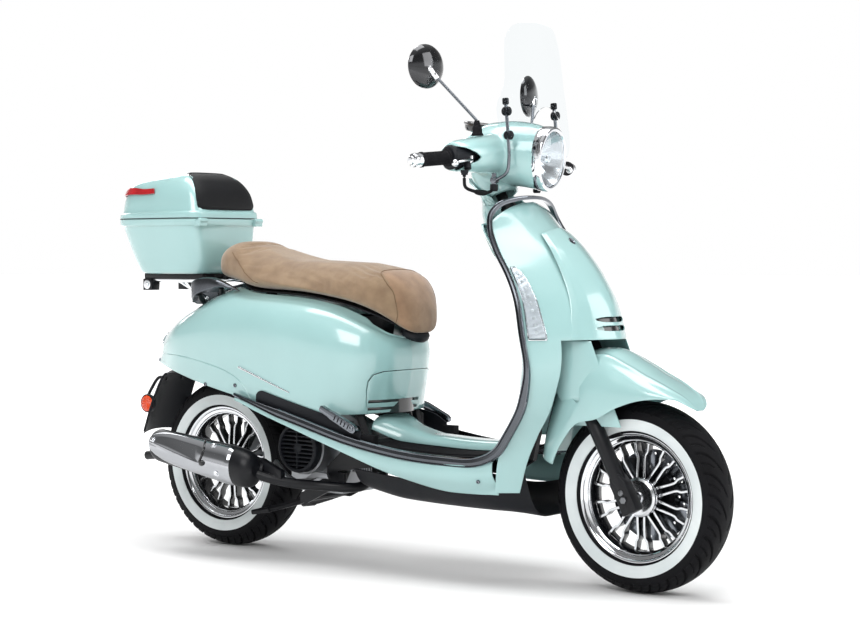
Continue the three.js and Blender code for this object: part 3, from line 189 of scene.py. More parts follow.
# ---------------------------------------------------------------- numbers along a line
def through(keys):
    """A smooth function through (position, value) pairs, level where the values turn back."""
    t = [k[0] for k in keys]
    v = [k[1] for k in keys]
    rise = [(v[i + 1] - v[i]) / (t[i + 1] - t[i]) for i in range(len(t) - 1)]
    slope = [rise[0]]
    for before, after in zip(rise, rise[1:]):
        slope.append(0 if before * after <= 0 else 2 * before * after / (before + after))
    slope.append(rise[-1])

    def value(x):
        if x <= t[0]:
            return v[0]
        if x >= t[-1]:
            return v[-1]
        i = 0
        while x > t[i + 1]:
            i += 1
        step = t[i + 1] - t[i]
        s = (x - t[i]) / step
        near, far = (1 + 2 * s) * (1 - s) ** 2, s * s * (3 - 2 * s)
        bend = s * (1 - s) ** 2 * slope[i] + s * s * (s - 1) * slope[i + 1]
        return near * v[i] + far * v[i + 1] + step * bend

    return value


def mix(a, b, t):
    return a + (b - a) * t


def signed(value, power):
    return math.copysign(abs(value) ** power, value)


def spline(points, count=80):
    """Evenly spaced points on a smooth line through the given ones."""
    p = [np.array(q, float) for q in points]
    if len(p) == 2:
        return [mix(p[0], p[1], i / count) for i in range(count + 1)]
    p = [2 * p[0] - p[1], *p, 2 * p[-1] - p[-2]]
    fine = []
    for a, b, c, d in zip(p, p[1:], p[2:], p[3:]):
        t = [0.0]
        for m, n in ((a, b), (b, c), (c, d)):
            t.append(t[-1] + max(1e-6, float(np.linalg.norm(n - m))) ** 0.5)
        for k in range(24):
            s = mix(t[1], t[2], k / 24)
            a1 = (t[1] - s) / (t[1] - t[0]) * a + (s - t[0]) / (t[1] - t[0]) * b
            a2 = (t[2] - s) / (t[2] - t[1]) * b + (s - t[1]) / (t[2] - t[1]) * c
            a3 = (t[3] - s) / (t[3] - t[2]) * c + (s - t[2]) / (t[3] - t[2]) * d
            b1 = (t[2] - s) / (t[2] - t[0]) * a1 + (s - t[0]) / (t[2] - t[0]) * a2
            b2 = (t[3] - s) / (t[3] - t[1]) * a2 + (s - t[1]) / (t[3] - t[1]) * a3
            fine.append((t[2] - s) / (t[2] - t[1]) * b1 + (s - t[1]) / (t[2] - t[1]) * b2)
    fine.append(p[-2])
    fine = np.array(fine)
    far = np.concatenate([[0], np.cumsum(np.linalg.norm(np.diff(fine, axis=0), axis=1))])
    want = np.linspace(0, far[-1], count + 1)
    return [np.array([np.interp(w, far, fine[:, k]) for k in range(3)]) for w in want]


def heading(line, i):
    """The unit direction of a line of points at point i."""
    along = line[min(i + 1, len(line) - 1)] - line[max(i - 1, 0)]
    return along / np.linalg.norm(along)


def border(across, down):
    """(u, v) pairs once round the edge of a surface, back to the first corner."""
    there = [(t / across, 0) for t in range(across)] + [(1, t / down) for t in range(down)]
    back = [(1 - t / across, 1) for t in range(across)] + [(0, 1 - t / down) for t in range(down + 1)]
    return there + back


# ---------------------------------------------------------------- shapes: lists of points and faces
def grid_faces(rows, cols, loop=False):
    wrap = cols if loop else cols - 1
    return [(i * cols + j, i * cols + (j + 1) % cols, (i + 1) * cols + (j + 1) % cols, (i + 1) * cols + j)
            for i in range(rows - 1) for j in range(wrap)]


def shell(surface, across, down, thickness=3.0):
    """A closed thin wall on surface(u, v), with its thickness on the side of du x dv."""
    p = np.array([[surface(i / across, j / down) for j in range(down + 1)] for i in range(across + 1)],
                 float)
    out = np.cross(np.gradient(p, axis=0), np.gradient(p, axis=1))
    out /= np.maximum(np.linalg.norm(out, axis=2, keepdims=True), 1e-9)
    q = p + out * thickness
    row, count = down + 1, (across + 1) * (down + 1)
    faces = grid_faces(across + 1, row)
    faces += [tuple(count + k for k in reversed(f)) for f in faces]
    edge = [j for j in range(down)] + [i * row + down for i in range(across)]
    edge += [across * row + j for j in range(down, 0, -1)] + [i * row for i in range(across, 0, -1)]
    for a, b in zip(edge, edge[1:] + edge[:1]):
        faces.append((b, a, count + a, count + b))
    return [*p.reshape(-1, 3), *q.reshape(-1, 3)], faces


def loft(rings, loop=False):
    count = len(rings[0])
    points = [q for r in rings for q in r]
    faces = grid_faces(len(rings), count, True)
    if loop:
        last = (len(rings) - 1) * count
        faces += [(last + j, last + (j + 1) % count, (j + 1) % count, j) for j in range(count)]
        return points, faces
    faces.append(tuple(range(count))[::-1])
    faces.append(tuple((len(rings) - 1) * count + j for j in range(count)))
    return points, faces


def wall(surfaces, thickness=3.0, merge=0.4, centre=None):
    """A closed thin wall behind open surfaces that share edges; the middle point is behind it."""
    work = bmesh.new()
    for p, cols in surfaces:
        rows = len(p) // cols
        points = [work.verts.new(q) for q in p]
        for f in grid_faces(rows, cols):
            if len({tuple(np.round(p[k], 3)) for k in f}) > 2:
                work.faces.new([points[k] for k in f])
    bmesh.ops.remove_doubles(work, verts=work.verts, dist=merge)
    bmesh.ops.dissolve_degenerate(work, edges=work.edges, dist=1e-3)
    bmesh.ops.recalc_face_normals(work, faces=work.faces)
    if centre is None:
        centre = sum((v.co for v in work.verts), Vector()) / len(work.verts)
    if sum((f.calc_center_median() - Vector(centre)).dot(f.normal) * f.calc_area() for f in work.faces) < 0:
        bmesh.ops.reverse_faces(work, faces=work.faces)
    work.normal_update()
    work.verts.index_update()
    outer = [v.co.copy() for v in work.verts]
    inner = [v.co - v.normal * thickness for v in work.verts]
    count = len(outer)
    faces = [tuple(v.index for v in f.verts) for f in work.faces]
    rim = [(e, e.link_loops[0]) for e in work.edges if len(e.link_loops) == 1]
    faces += [tuple(count + k for k in reversed(f)) for f in faces]
    for edge, loop in rim:
        a, b = loop.vert.index, edge.other_vert(loop.vert).index
        faces.append((b, a, count + a, count + b))
    work.free()
    return [tuple(q) for q in outer + inner], faces


def sampled(surface, across, down):
    points = [surface(i / across, j / down) for i in range(across + 1) for j in range(down + 1)]
    return [tuple(float(c) for c in q) for q in points], down + 1


def split(shape, count, strips):
    """The faces of a lofted shape in two lots: those of the given strips along it, and the rest."""
    points, faces = shape
    chosen = [f for k, f in enumerate(faces[:len(faces) - 2]) if k % count in strips]
    rest = [f for k, f in enumerate(faces[:len(faces) - 2]) if k % count not in strips] + faces[-2:]
    return (points, chosen), (points, rest)


def ring(centre, a, b, plane="x", count=40, power=1.0):
    """A superellipse round a centre, in the plane across that axis."""
    points = []
    for i in range(count):
        angle = 2 * math.pi * i / count
        u, v = a * signed(math.cos(angle), power), b * signed(math.sin(angle), power)
        shift = {"x": (0, u, v), "y": (u, 0, v), "z": (u, v, 0)}[plane]
        points.append([c + s for c, s in zip(centre, shift)])
    return points


def basis(axis):
    n = np.array(axis, float) / np.linalg.norm(axis)
    side = np.cross(n, (0, 0, 1) if abs(n[2]) < 0.9 else (1, 0, 0))
    side /= np.linalg.norm(side)
    return n, side, np.cross(n, side)


def lathe(profile, centre, axis=(0, 1, 0), count=64, power=1.0, squeeze=1.0):
    """Turns (radius, distance along the axis) pairs about the axis through the centre."""
    n, s, t = basis(axis)
    c = np.array(centre, float)
    rings = []
    for r, d in profile:
        rings.append([c + n * d + r * (s * signed(math.cos(a), power) +
                                       t * squeeze * signed(math.sin(a), power))
                      for a in (2 * math.pi * k / count for k in range(count))])
    closed = np.allclose(profile[0], profile[-1])
    return loft(rings[:-1] if closed else rings, closed)


def tube(points, radius, sides=14, count=60, squash=1.0, up=(0, 0, 1)):
    """A bar along a smooth line; radius is a number, or a function of the way along from 0 to 1."""
    line = spline(points, count)
    rings = []
    for i, p in enumerate(line):
        along = heading(line, i)
        side = np.cross(along, up)
        side /= max(1e-6, np.linalg.norm(side))
        top = np.cross(side, along)
        r = radius(i / count) if callable(radius) else radius
        rings.append([p + r * (side * math.cos(a) + top * squash * math.sin(a))
                      for a in (2 * math.pi * k / sides for k in range(sides))])
    return loft(rings)


def rod(a, b, radius, end=None, sides=32):
    end = radius if end is None else end
    length = float(np.linalg.norm(np.subtract(b, a)))
    return lathe([(radius, 0), (end, length)], a, np.subtract(b, a), sides)


def block(x0, x1, y0, y1, z0, z1):
    points = [(x, y, z) for x in (x0, x1) for y in (y0, y1) for z in (z0, z1)]
    return points, [(0, 1, 3, 2), (4, 6, 7, 5), (0, 4, 5, 1), (2, 3, 7, 6), (0, 2, 6, 4), (1, 5, 7, 3)]


def prism_faces(n):
    """The two ends and the sides of a prism whose two outlines hold n points each."""
    faces = [tuple(range(n)), tuple(range(2 * n - 1, n - 1, -1))]
    return faces + [(i, (i + 1) % n, n + (i + 1) % n, n + i) for i in range(n)]


def plate(outline, y0, y1):
    """A flat plate with a smooth or straight outline in x and z."""
    points = [(x, y0, z) for x, z in outline] + [(x, y1, z) for x, z in outline]
    return points, prism_faces(len(outline))


def screw(centre, axis, radius=6.0):
    """A domed head with a hexagon socket."""
    dome = [(radius, -1.0), (radius, 1.2), (radius * 0.9, 2.4), (radius * 0.6, 3.2)]
    socket = [(radius * 0.52, 3.2), (radius * 0.48, 1.2), (0.01, 1.2)]
    return lathe(dome + socket, centre, axis, 24)


def flipped(shape):
    return [(p[0], -p[1], p[2]) for p in shape[0]], [f[::-1] for f in shape[1]]


def sided(shape, sign):
    return shape if sign > 0 else flipped(shape)


def moved(shape, matrix, pivot=(0, 0, 0)):
    """A shape turned or moved by a 4x4 matrix about a point."""
    c = Vector(pivot)
    return [tuple(matrix @ (Vector(p) - c) + c) for p in shape[0]], shape[1]


# ---------------------------------------------------------------- pieces
def applied(obj):
    """Bakes the modifiers of an object into its mesh."""
    graph = bpy.context.evaluated_depsgraph_get()
    graph.update()
    mesh = bpy.data.meshes.new_from_object(obj.evaluated_get(graph))
    obj.modifiers.clear()
    old, obj.data = obj.data, mesh
    bpy.data.meshes.remove(old)
    return obj


def solid(name, shapes, skins=()):
    """An object from (shape, material number) pairs."""
    points, faces, numbers = [], [], []
    for shape in shapes:
        (p, f), number = shape if isinstance(shape[1], int) else (shape, 0)
        base = len(points)
        points += [at(*q) for q in p]
        faces += [tuple(base + k for k in face) for face in f]
        numbers += [number] * len(f)
    mesh = bpy.data.meshes.new(name)
    mesh.from_pydata(points, [], faces)
    for skin in skins:
        mesh.materials.append(skin)
    mesh.polygons.foreach_set("material_index", numbers)
    work = bmesh.new()
    work.from_mesh(mesh)
    bmesh.ops.remove_doubles(work, verts=work.verts, dist=1e-6)
    bmesh.ops.recalc_face_normals(work, faces=work.faces)
    work.to_mesh(mesh)
    work.free()
    obj = bpy.data.objects.new(name, mesh)
    bpy.context.scene.collection.objects.link(obj)
    return obj


def carve(obj, cutters, operation="DIFFERENCE"):
    tool = solid("cutter", cutters)
    change = obj.modifiers.new("carve", "BOOLEAN")
    change.operation = operation
    change.solver = "EXACT"
    change.use_self = True
    change.object = tool
    applied(obj)
    bpy.data.objects.remove(tool)
    return obj


def piece(name, body, shapes, skins, replaces=(), cuts=(), bevel=0.0, levels=0, crisp=35,
          segments=2):
    """Builds one visible piece, rounds its edges and hangs it on a body."""
    obj = shapes if isinstance(shapes, bpy.types.Object) else solid(name, shapes, skins)
    obj.name = name
    if cuts:
        carve(obj, cuts)
    if bevel:
        edge = obj.modifiers.new("edge", "BEVEL")
        edge.width = bevel * MM
        edge.segments = segments
        edge.limit_method = "ANGLE"
        edge.angle_limit = math.radians(40)
        edge.use_clamp_overlap = True
    if levels:
        fine = obj.modifiers.new("fine", "SUBSURF")
        fine.levels = fine.render_levels = levels
    if bevel or levels:
        applied(obj)
    obj.data.polygons.foreach_set("use_smooth", [True] * len(obj.data.polygons))
    obj.data.set_sharp_from_angle(angle=math.radians(crisp))
    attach(obj, body)
    if replaces:
        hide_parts(*replaces)
    return obj


# ---------------------------------------------------------------- front panels
shield_half = through([(230, 172), (374, 186), (472, 193), (600, 196), (700, 190), (800, 172), (874, 148),
                       (905, 128), (924, 95), (933, 66), (960, 62), (1000, 60)])
shield_edge = through([(230, 1000), (300, 1012), (374, 1048), (436, 1094), (472, 1106), (531, 1117),
                       (614, 1104),
                       (696, 1086), (755, 1054), (814, 1012), (874, 976), (905, 968), (933, 962),
                       (1000, 905)])
shield_front = through([(230, 1150), (440, 1200), (600, 1240), (682, 1212), (742, 1176), (814, 1118),
                        (884, 1046), (933, 1000)])
shield_top = through([(0, 933), (60, 930), (95, 922), (125, 903), (148, 872), (160, 840)])


def shield_point(side, z):
    half = min(shield_half(z), shield_half(905) + (933 - z) * 1.1) - 2
    edge = shield_edge(z) + 6
    return edge + (shield_front(z) - edge) * (1 - abs(side) ** 1.7), side * half, z


def leg_shield(u, v):
    """The front panel, from its top edge down to the sills."""
    side = math.sin((2 * u - 1) * 1.35) / math.sin(1.35)
    return shield_point(side, mix(shield_top(abs(side) * shield_half(890)), 230, v))


WELL = [plate([(1400, 600), (1400, 100), (900, 100), (900, 600)], -134, 134)]
piece("leg_shield_panel", "chassis", [shell(leg_shield, 72, 64)], [PAINT], ["leg_shield"],
      cuts=WELL, bevel=1.2)

hump_depth = through([(330, 58), (400, 92), (500, 124), (600, 120), (700, 112), (800, 96), (850, 94),
                      (900, 98), (950, 92), (1000, 92)])
hump_half = through([(330, 112), (600, 128), (800, 92), (900, 76), (960, 62), (1000, 60)])


def inner_point(side, z):
    y = side * (shield_half(z) - 2)
    away = min(1, abs(y) / hump_half(z))
    bend = 0.5 if z > 900 else mix(0.5, 1, (900 - z) / 570)
    return shield_edge(z) - 6 - hump_depth(z) * (1 - away ** 2) ** bend, y, z


def inner_shield(u, v):
    """The panel behind the leg shield, with the hump round the steering column."""
    side = 2 * u - 1
    return inner_point(side, mix(996 - 54 * side ** 2, 352, v))


piece("inner_shield_panel", "chassis", [shell(inner_shield, 80, 60)], [PAINT], ["inner_shield"],
      cuts=[block(800, 1050, -138, -70, 800, 870)], bevel=0.8)


def glovebox(swell, shrink):
    def surface(u, v):
        y = mix(-146 + shrink, -62 - shrink, u)
        z = mix(878 - shrink, 792 + shrink, v)
        p = inner_point(y / (shield_half(z) - 2), z)
        dome = swell * (1 - (2 * u - 1) ** 4) * (1 - (2 * v - 1) ** 4)
        return p[0] - 16 - dome, y, z
    return surface


door = [(shell(glovebox(14, 0), 30, 30), 0)]
frame_line = [glovebox(14, 3)(u, v) for u, v in border(10, 10)]
door += [(tube([(x - 2.5, y, z) for x, y, z in frame_line], 2.4, 8, 120), 1),
         (lathe([(0.01, 3), (8, 3), (9, 1), (9, -3)], (947, -76, 836), (-1, 0, 0), 24), 1)]
piece("glovebox_lid", "glovebox", door, [PAINT, CHROME], ["glovebox_door"])

horn_half = through([(600, 116), (700, 96), (800, 78), (850, 64), (868, 46)])
horn_front = through([(600, 1256), (682, 1232), (742, 1198), (814, 1140), (868, 1082)])


def horn_cover(u, v):
    """The raised panel down the middle of the leg shield."""
    side = math.sin((2 * u - 1) * 1.3) / math.sin(1.3)
    z = mix(868 - 12 * side ** 2, 601, v)
    fall = abs(side) ** 1.5 + 0.45 * max(0, abs(side) - 0.68)
    lip = 6 * max(0, abs(side) - 0.9) / 0.1
    return horn_front(z) - mix(20, 54, v) * fall - lip, side * horn_half(z), z


def on_horn(side, z, out=0.0):
    """A point standing off the horn cover."""
    fall = abs(side) ** 1.5 + 0.45 * max(0, abs(side) - 0.68)
    x = horn_front(z) - mix(20, 54, (868 - z) / 267) * fall
    return x + out * 0.8, side * horn_half(z), z + out * 0.6


def slot_cut(z, tall, half):
    rings = []
    for y in np.linspace(-half, half, 9):
        r = tall / 2 * max(0.3, 1 - (abs(y) / half) ** 6)
        rings.append([(1100, y, z - r), (1320, y, z - r), (1320, y, z + r), (1100, y, z + r)])
    return loft(rings)


badge = lathe([(0.01, 14), (11, 14), (11, -14), (0.01, -14)], on_horn(0, 836), (0.8, 0, 0.6), 40)
piece("horn_cover_panel", "chassis", [shell(horn_cover, 56, 60, 3)], [PAINT], ["horn_cover"],
      cuts=[slot_cut(627, 13, 62), slot_cut(648, 13, 60), badge], bevel=1.0)


def grille(u, v):
    """The dark face behind the slots of the horn cover."""
    z = mix(668, 608, v)
    return horn_front(z) - 12 - 40 * abs(2 * u - 1) ** 1.6, mix(-80, 80, u), z


piece("horn_grille", "chassis", [(shell(grille, 20, 6, -2), 0)], [GLOSS_BLACK])
cup = [(0.01, -3), (10.6, -3), (10.6, 1), (9.6, 1.6), (8, -1), (0.01, -1.6)]
piece("horn_cover_plug", "chassis", [(lathe(cup, on_horn(0, 836, -2), (0.8, 0, 0.6), 40), 0)],
      [DARK_CHROME])


# ---------------------------------------------------------------- edge trim, sills and floor
TRIM = [(175, 192, 436), (290, 196, 404), (404, 197, 375), (571, 197, 334), (732, 196, 309),
        (856, 192, 301),
        (960, 188, 303), (1020, 187, 328), (1058, 190, 374), (1099, 197, 436), (1111, 199, 472),
        (1121, 202, 531),
        (1108, 204, 614), (1088, 198, 700), (1057, 188, 757), (1014, 176, 816), (984, 158, 866),
        (974, 140, 900), (980, 112, 924), (994, 64, 938)]


def trim_line(count):
    return spline([(x, -y, z) for x, y, z in TRIM] + [(1006, 0, 943)] +
                  [(x, y, z) for x, y, z in reversed(TRIM)], count)


def trim_strip():
    """The edge trim: a dark channel between two bright beads, wider along the sills."""
    count = 420
    line = trim_line(count)
    profile = [(-1, -0.7), (-1, 0.15), (-0.86, 0.62), (-0.7, 0.5), (-0.62, 0.1), (0, 0.42), (0.62, 0.1),
               (0.7, 0.5), (0.86, 0.62), (1, 0.15), (1, -0.7)]
    rings = []
    for i, p in enumerate(line):
        along = heading(line, i)
        out = np.array([0.15, p[1] / 200, max(0, (p[2] - 850) / 60)])
        out -= along * out.dot(along)
        out /= np.linalg.norm(out)
        wide = np.cross(along, out)
        low = min(1, max(0, (560 - p[2]) / 100))
        half = mix(6.5, 12, low) * min(1, 0.3 + min(i, count - i) / 30)
        rings.append([p + wide * a * half + out * (b * 6.5 + 1.2) for a, b in profile])
    channel, beads = split(loft(rings), len(profile), (3, 4, 5, 6))
    return [(channel, 0), (beads, 1)]


piece("shield_trim_strip", "chassis", trim_strip(), [GUNMETAL, DARK_CHROME], ["shield_trim"],
      crisp=28)

sill_top = through([(175, 436), (290, 404), (404, 375), (571, 334), (732, 309), (856, 301), (960, 303),
                    (1020, 320)])
skirt_low = through([(175, 424), (212, 408), (404, 347), (571, 297), (732, 250), (886, 224), (1006, 223),
                     (1040, 234)])


def side_skirt(sign):
    def surface(u, v):
        x = mix(178, 1006, u)
        top = sill_top(x) - 8
        low = min(top - 8, skirt_low(x))
        inward = through([(0, 0), (24, -2), (70, 26)])((top - low) * v)
        nose = through([(182, 0), (880, 0), (1006, 12)])(x)
        return x, sign * (191 - inward - nose), mix(top, low, v)
    return shell(surface, 90, 14, 3 * sign)


for word, sign in SIDES:
    piece(f"sill_skirt_{word}", "chassis", [side_skirt(sign)], [PAINT], [f"side_skirt_{word}"],
          bevel=1.0)
    piece(f"sill_screw_{word}", "chassis", [screw((968, sign * 186, 256), (0.1, sign, -0.2), 5)],
          [DARK_CHROME])

belly_low = through([(532, 206), (563, 198), (677, 182), (803, 178), (986, 176), (1068, 168)])
belly_top = through([(532, 256), (700, 244), (900, 222), (1000, 236), (1068, 296)])
belly_half = through([(532, 122), (700, 142), (950, 150), (1068, 116)])


def belly(u, v):
    """The pan under the floor."""
    x = mix(532, 1068, u)
    side = 2 * v - 1
    lean = 16 * abs(side) ** 3 * u ** 8
    y = belly_half(x) * signed(side, 0.8)
    return x - lean, y, mix(belly_low(x), belly_top(x), side ** 4)


piece("belly_cover", "chassis", [shell(belly, 60, 40, -4)], [BLACK], ["belly_pan"],
      bevel=1.0)

floor_z = through([(560, 352), (640, 322), (732, 316), (856, 312), (960, 316), (1024, 338)])
floor_half = through([(560, 168), (700, 176), (900, 178), (1024, 164)])


def floor_mat():
    def tread(u, v):
        x = mix(602, 1024, u)
        return x, (2 * v - 1) * floor_half(x), floor_z(x)
    parts = [(shell(tread, 40, 24, -4), 0)]
    for sign in (-1, 1):
        for k in range(7):
            y = sign * (68 + 14 * k)
            line = [(x, y, floor_z(x) + 1.2) for x in np.linspace(622, 1000 - 3 * k, 12)]
            parts.append((tube(line, 3.2, 8, 40), 0))
        parts.append((block(600, 640, min(sign * 160, sign * 181), max(sign * 160, sign * 181), 312, 350),
                      0))

        def side(u, v, sign=sign):
            x = mix(196, 600, u)
            high = through([(196, 424), (300, 412), (486, 392), (560, 378), (600, 356)])(x)
            return x, sign * (178 + 3 * math.sin(math.pi * v)), mix(high, sill_top(x) - 22, v)
        parts.append((shell(side, 50, 8, 3 * sign), 1))
    return parts


piece("floor_mat", "chassis", floor_mat(), [RUBBER, BLACK], ["floorboard"], bevel=0.6,
      cuts=[rod((1004, 0, 200), (1012, 0, 460), 30)])


def tunnel(u, v):
    """The raised middle of the floor."""
    x = mix(562, 962, u)
    side = math.sin((2 * v - 1) * 1.4) / math.sin(1.4)
    rise = through([(562, 36), (610, 38), (720, 24), (962, 22)])(x)
    half = through([(562, 92), (660, 60), (800, 52), (962, 52)])(x)
    return x, side * half, floor_z(x) + 4.4 + rise * (1 - side ** 4) ** 0.6


piece("floor_tunnel_cover", "chassis", [shell(tunnel, 50, 40, -3)], [PAINT], ["floor_tunnel"],
      bevel=0.8)


# ---------------------------------------------------------------- turn signals
def signal_point(u, v, out):
    """A point standing off the leg shield where the turn signal sits."""
    z = mix(772, 602, v)
    inner = through([(0, 0.93), (0.12, 0.88), (1, 0.82)])(v)
    side = mix(0.975, inner, u)
    p, q, r = (np.array(shield_point(s, h)) for s, h in ((side, z), (side - 0.01, z), (side, z - 1)))
    normal = np.cross(r - p, q - p)
    normal *= math.copysign(1 / np.linalg.norm(normal), normal[0])
    return p + normal * out


def turn_signal(sign):
    def glass(u, v):
        dome = 5.5 * (1 - (2 * u - 1) ** 6) * (1 - (2 * v - 1) ** 10)
        return signal_point(u, v, 3.4 + dome)

    def facets(u, v):
        zig = 2.2 * abs((v * 14 + u * 1.0) % 1 - 0.5)
        return signal_point(mix(0.04, 0.96, u), mix(0.02, 0.98, v), 2.6 + zig * 0.6)
    edge = tube([signal_point(u, v, 1.6) for u, v in border(12, 24)], 2.4, 8, 180)
    lamps = []
    for k in range(9):
        spot = signal_point(0.5, mix(0.1, 0.9, k / 8), 4.0)
        lamps.append(lathe([(0.01, 3), (2.5, 2.6), (3.6, 1), (4.4, 0)], spot, (0.7, 0.7, 0.1), 12))
    parts = [(shell(facets, 8, 112, 1), 0), (edge, 1)] + [(lamp, 2) for lamp in lamps]
    base = [(sided(shape, sign), n) for shape, n in parts]
    return base, [sided(shell(glass, 14, 40, 1.6), sign)]


for word, sign in SIDES:
    base, glass = turn_signal(sign)
    piece(f"signal_leds_{word}", "chassis", base, [LED, CHROME, WHITE])
    piece(f"signal_glass_{word}", "chassis", glass, [LENS], [f"turn_signal_{word}"])


# ---------------------------------------------------------------- fender
fender_crown = through([(54, 262), (60, 274), (70, 282), (82, 297), (92, 324), (103, 362), (113, 372),
                        (125, 348), (140, 306), (152, 284), (160, 272)])
fender_edge = through([(54, 262), (62, 268), (68, 258), (80, 238), (93, 218), (110, 200), (128, 214),
                       (141, 212), (160, 212)])
fender_half = through([(54, 14), (57, 44), (65, 74), (75, 90), (90, 100), (110, 108), (125, 106), (145, 98),
                       (160, 94)])
RAKE = math.radians(27.7)
SLOPE = np.array([-math.sin(RAKE), 0, math.cos(RAKE)])
STEER_FOOT = np.array([WHEELBASE - 30 / math.cos(RAKE), 0, FRONT_R])
TRACK = 76


def fork_line(d, y):
    return np.array([WHEELBASE, y, FRONT_R]) + SLOPE * d


def steer_line(d, y=0.0):
    return STEER_FOOT + SLOPE * d + np.array([0, y, 0])


def fender(u, v):
    """The front fender, swept over the tyre with a peak behind its middle."""
    angle = mix(54, 160, u)
    turn = math.radians(angle)
    across = (2 * v - 1) * math.pi / 2
    side = signed(math.sin(across), 0.85)
    crown = max(0.0, math.cos(across)) ** 0.8
    ridge = 5 * math.exp(-((abs(2 * v - 1) - 0.36) / 0.05) ** 2) * math.sin(math.pi * u)
    radius = mix(fender_edge(angle), fender_crown(angle), crown) + ridge
    return WHEELBASE + radius * math.cos(turn), side * fender_half(angle), FRONT_R + radius * math.sin(turn)


piece("fender_shell", "steering", [shell(fender, 96, 72, 3)], [PAINT], ["front_fender"], bevel=1.2,
      cuts=[rod(fork_line(150, TRACK), fork_line(520, TRACK), 29),
            rod(fork_line(150, -TRACK), fork_line(520, -TRACK), 29),
            rod(steer_line(250), steer_line(520), 30)])


# ---------------------------------------------------------------- rear body
COWL = [
    [(-214, 0, 574), (-236, 0, 540), (-250, 0, 510)],
    [(-204, 0, 582), (-218, 46, 542), (-240, 42, 508)],
    [(-178, 0, 602), (-192, 88, 546), (-212, 82, 505)],
    [(-128, 0, 634), (-148, 127, 556), (-164, 119, 502)],
    [(-40, 0, 676), (-72, 163, 576), (-72, 153, 482)],
    [(64, 54, 714), (60, 184, 590), (60, 172, 452)],
    [(190, 112, 700), (210, 193, 590), (210, 180, 424)],
    [(360, 112, 688), (370, 194, 580), (370, 182, 404)],
    [(470, 104, 668), (480, 182, 562), (484, 172, 395)],
    [(546, 84, 636), (566, 148, 550), (550, 142, 396)],
    [(588, 50, 604), (610, 84, 548), (584, 80, 398)],
    [(602, 0, 592), (624, 0, 546), (594, 0, 400)],
]


def even_curve(points):
    """A smooth line through points, passing them at even steps of its parameter."""
    p = [np.array(q, float) for q in points]
    p = [2 * p[0] - p[1], *p, 2 * p[-1] - p[-2]]
    last = len(points) - 1

    def value(t):
        i = min(last - 1, int(t * last))
        s = t * last - i
        a, b, c, d = p[i:i + 4]
        m, n = (c - a) / 2, (d - b) / 2
        return ((2 * s ** 3 - 3 * s ** 2 + 1) * b + (s ** 3 - 2 * s ** 2 + s) * m +
                (3 * s ** 2 - 2 * s ** 3) * c + (s ** 3 - s ** 2) * n)
    return value


cowl_top, cowl_wide, cowl_hem = (even_curve([section[k] for section in COWL]) for k in range(3))
SHOULDER = 0.55


def cowl(u, v):
    """One half of the rear body: v runs from the crown over the shoulder to the hem."""
    a, b, c = cowl_top(u), cowl_wide(u), cowl_hem(u)
    if v < SHOULDER:
        t, corner, end = v / SHOULDER, np.array([mix(a[0], b[0], 0.86), mix(a[1], b[1], 0.86),
                                                 mix(a[2], b[2], 0.1)]), b
        start = a
    else:
        t, corner, end = (v - SHOULDER) / (1 - SHOULDER), np.array([b[0], b[1], mix(b[2], c[2], 0.35)]), c
        start = b
    return start * (1 - t) ** 2 + corner * 2 * t * (1 - t) + end * t * t


def cowl_out(u, v, out=0.0, sign=-1):
    """A point standing off the cowl on one side."""
    e = 1e-3
    p = cowl(u, v)
    du = cowl(min(1, u + e), v) - cowl(max(0, u - e), v)
    dv = cowl(u, min(1, v + e)) - cowl(u, max(0, v - e))
    normal = np.cross(du, dv)
    normal /= max(1e-9, np.linalg.norm(normal))
    if normal[1] < 0:
        normal = -normal
    p = p + normal * out
    return np.array([p[0], sign * max(0.0, p[1]), p[2]])


def lip(v):
    """The rolled edge of the cowl under the seat."""
    return 3.2 * math.exp(-(v / 0.035) ** 2) - 2.0 * math.exp(-((v - 0.11) / 0.05) ** 2)


def cowl_side(sign):
    def surface(u, v):
        edge = min(1.0, max(0.0, (u - 0.42) * 12))
        w = v ** 1.25
        p = cowl_out(u, w, lip(w) * edge, sign)
        return (p[0], 0.0 if u in (0.0, 1.0) or (u < 0.36 and v == 0) else p[1], p[2])
    return sampled(surface, 132, 44)


COWL_WALL = wall([cowl_side(1), cowl_side(-1)], 3.0, centre=(200, 0, 520))
HATCH = [(562, 330), (568, 400), (574, 458), (579, 482), (588, 498), (602, 506), (620, 508), (720, 508),
         (720, 330)]

COWL_NET = [(u / 160, v / 80, cowl(u / 160, v / 80)) for u in range(161) for v in range(81)]
NET_SPOTS = np.array([(p[0], p[2]) for _, _, p in COWL_NET])


def on_cowl(x, z, out=0.0, sign=-1):
    """The point of the cowl at a given x and height."""
    u, v, _ = COWL_NET[int(np.argmin(((NET_SPOTS - (x, z)) ** 2).sum(axis=1)))]
    for step in (1 / 400, 1 / 1500):
        u, v = min(((min(1, max(0, u + i * step)), min(1, max(0, v + j * step)))
                    for i in (-2, -1, 0, 1, 2) for j in (-2, -1, 0, 1, 2)),
                   key=lambda t: (cowl(*t)[0] - x) ** 2 + (cowl(*t)[2] - z) ** 2)
    return cowl_out(u, v, out, sign)


def sill_panel(sign):
    """Black panel between the sill and the cowl, round at its rear end."""
    def surface(u, v):
        x = mix(244, 548, u)
        rise = 36 * (1 - (1 - min(1.0, (x - 244) / 34)) ** 2) ** 0.5
        z = sill_top(x) + 4 + rise * v
        p = on_cowl(x, z, 2.2, sign)
        return x, p[1], z
    return shell(surface, 60, 10, -1.6 * sign)


for word, sign in SIDES:
    piece(f"sill_panel_{word}", "chassis", [sill_panel(sign)], [BLACK], bevel=0.6)

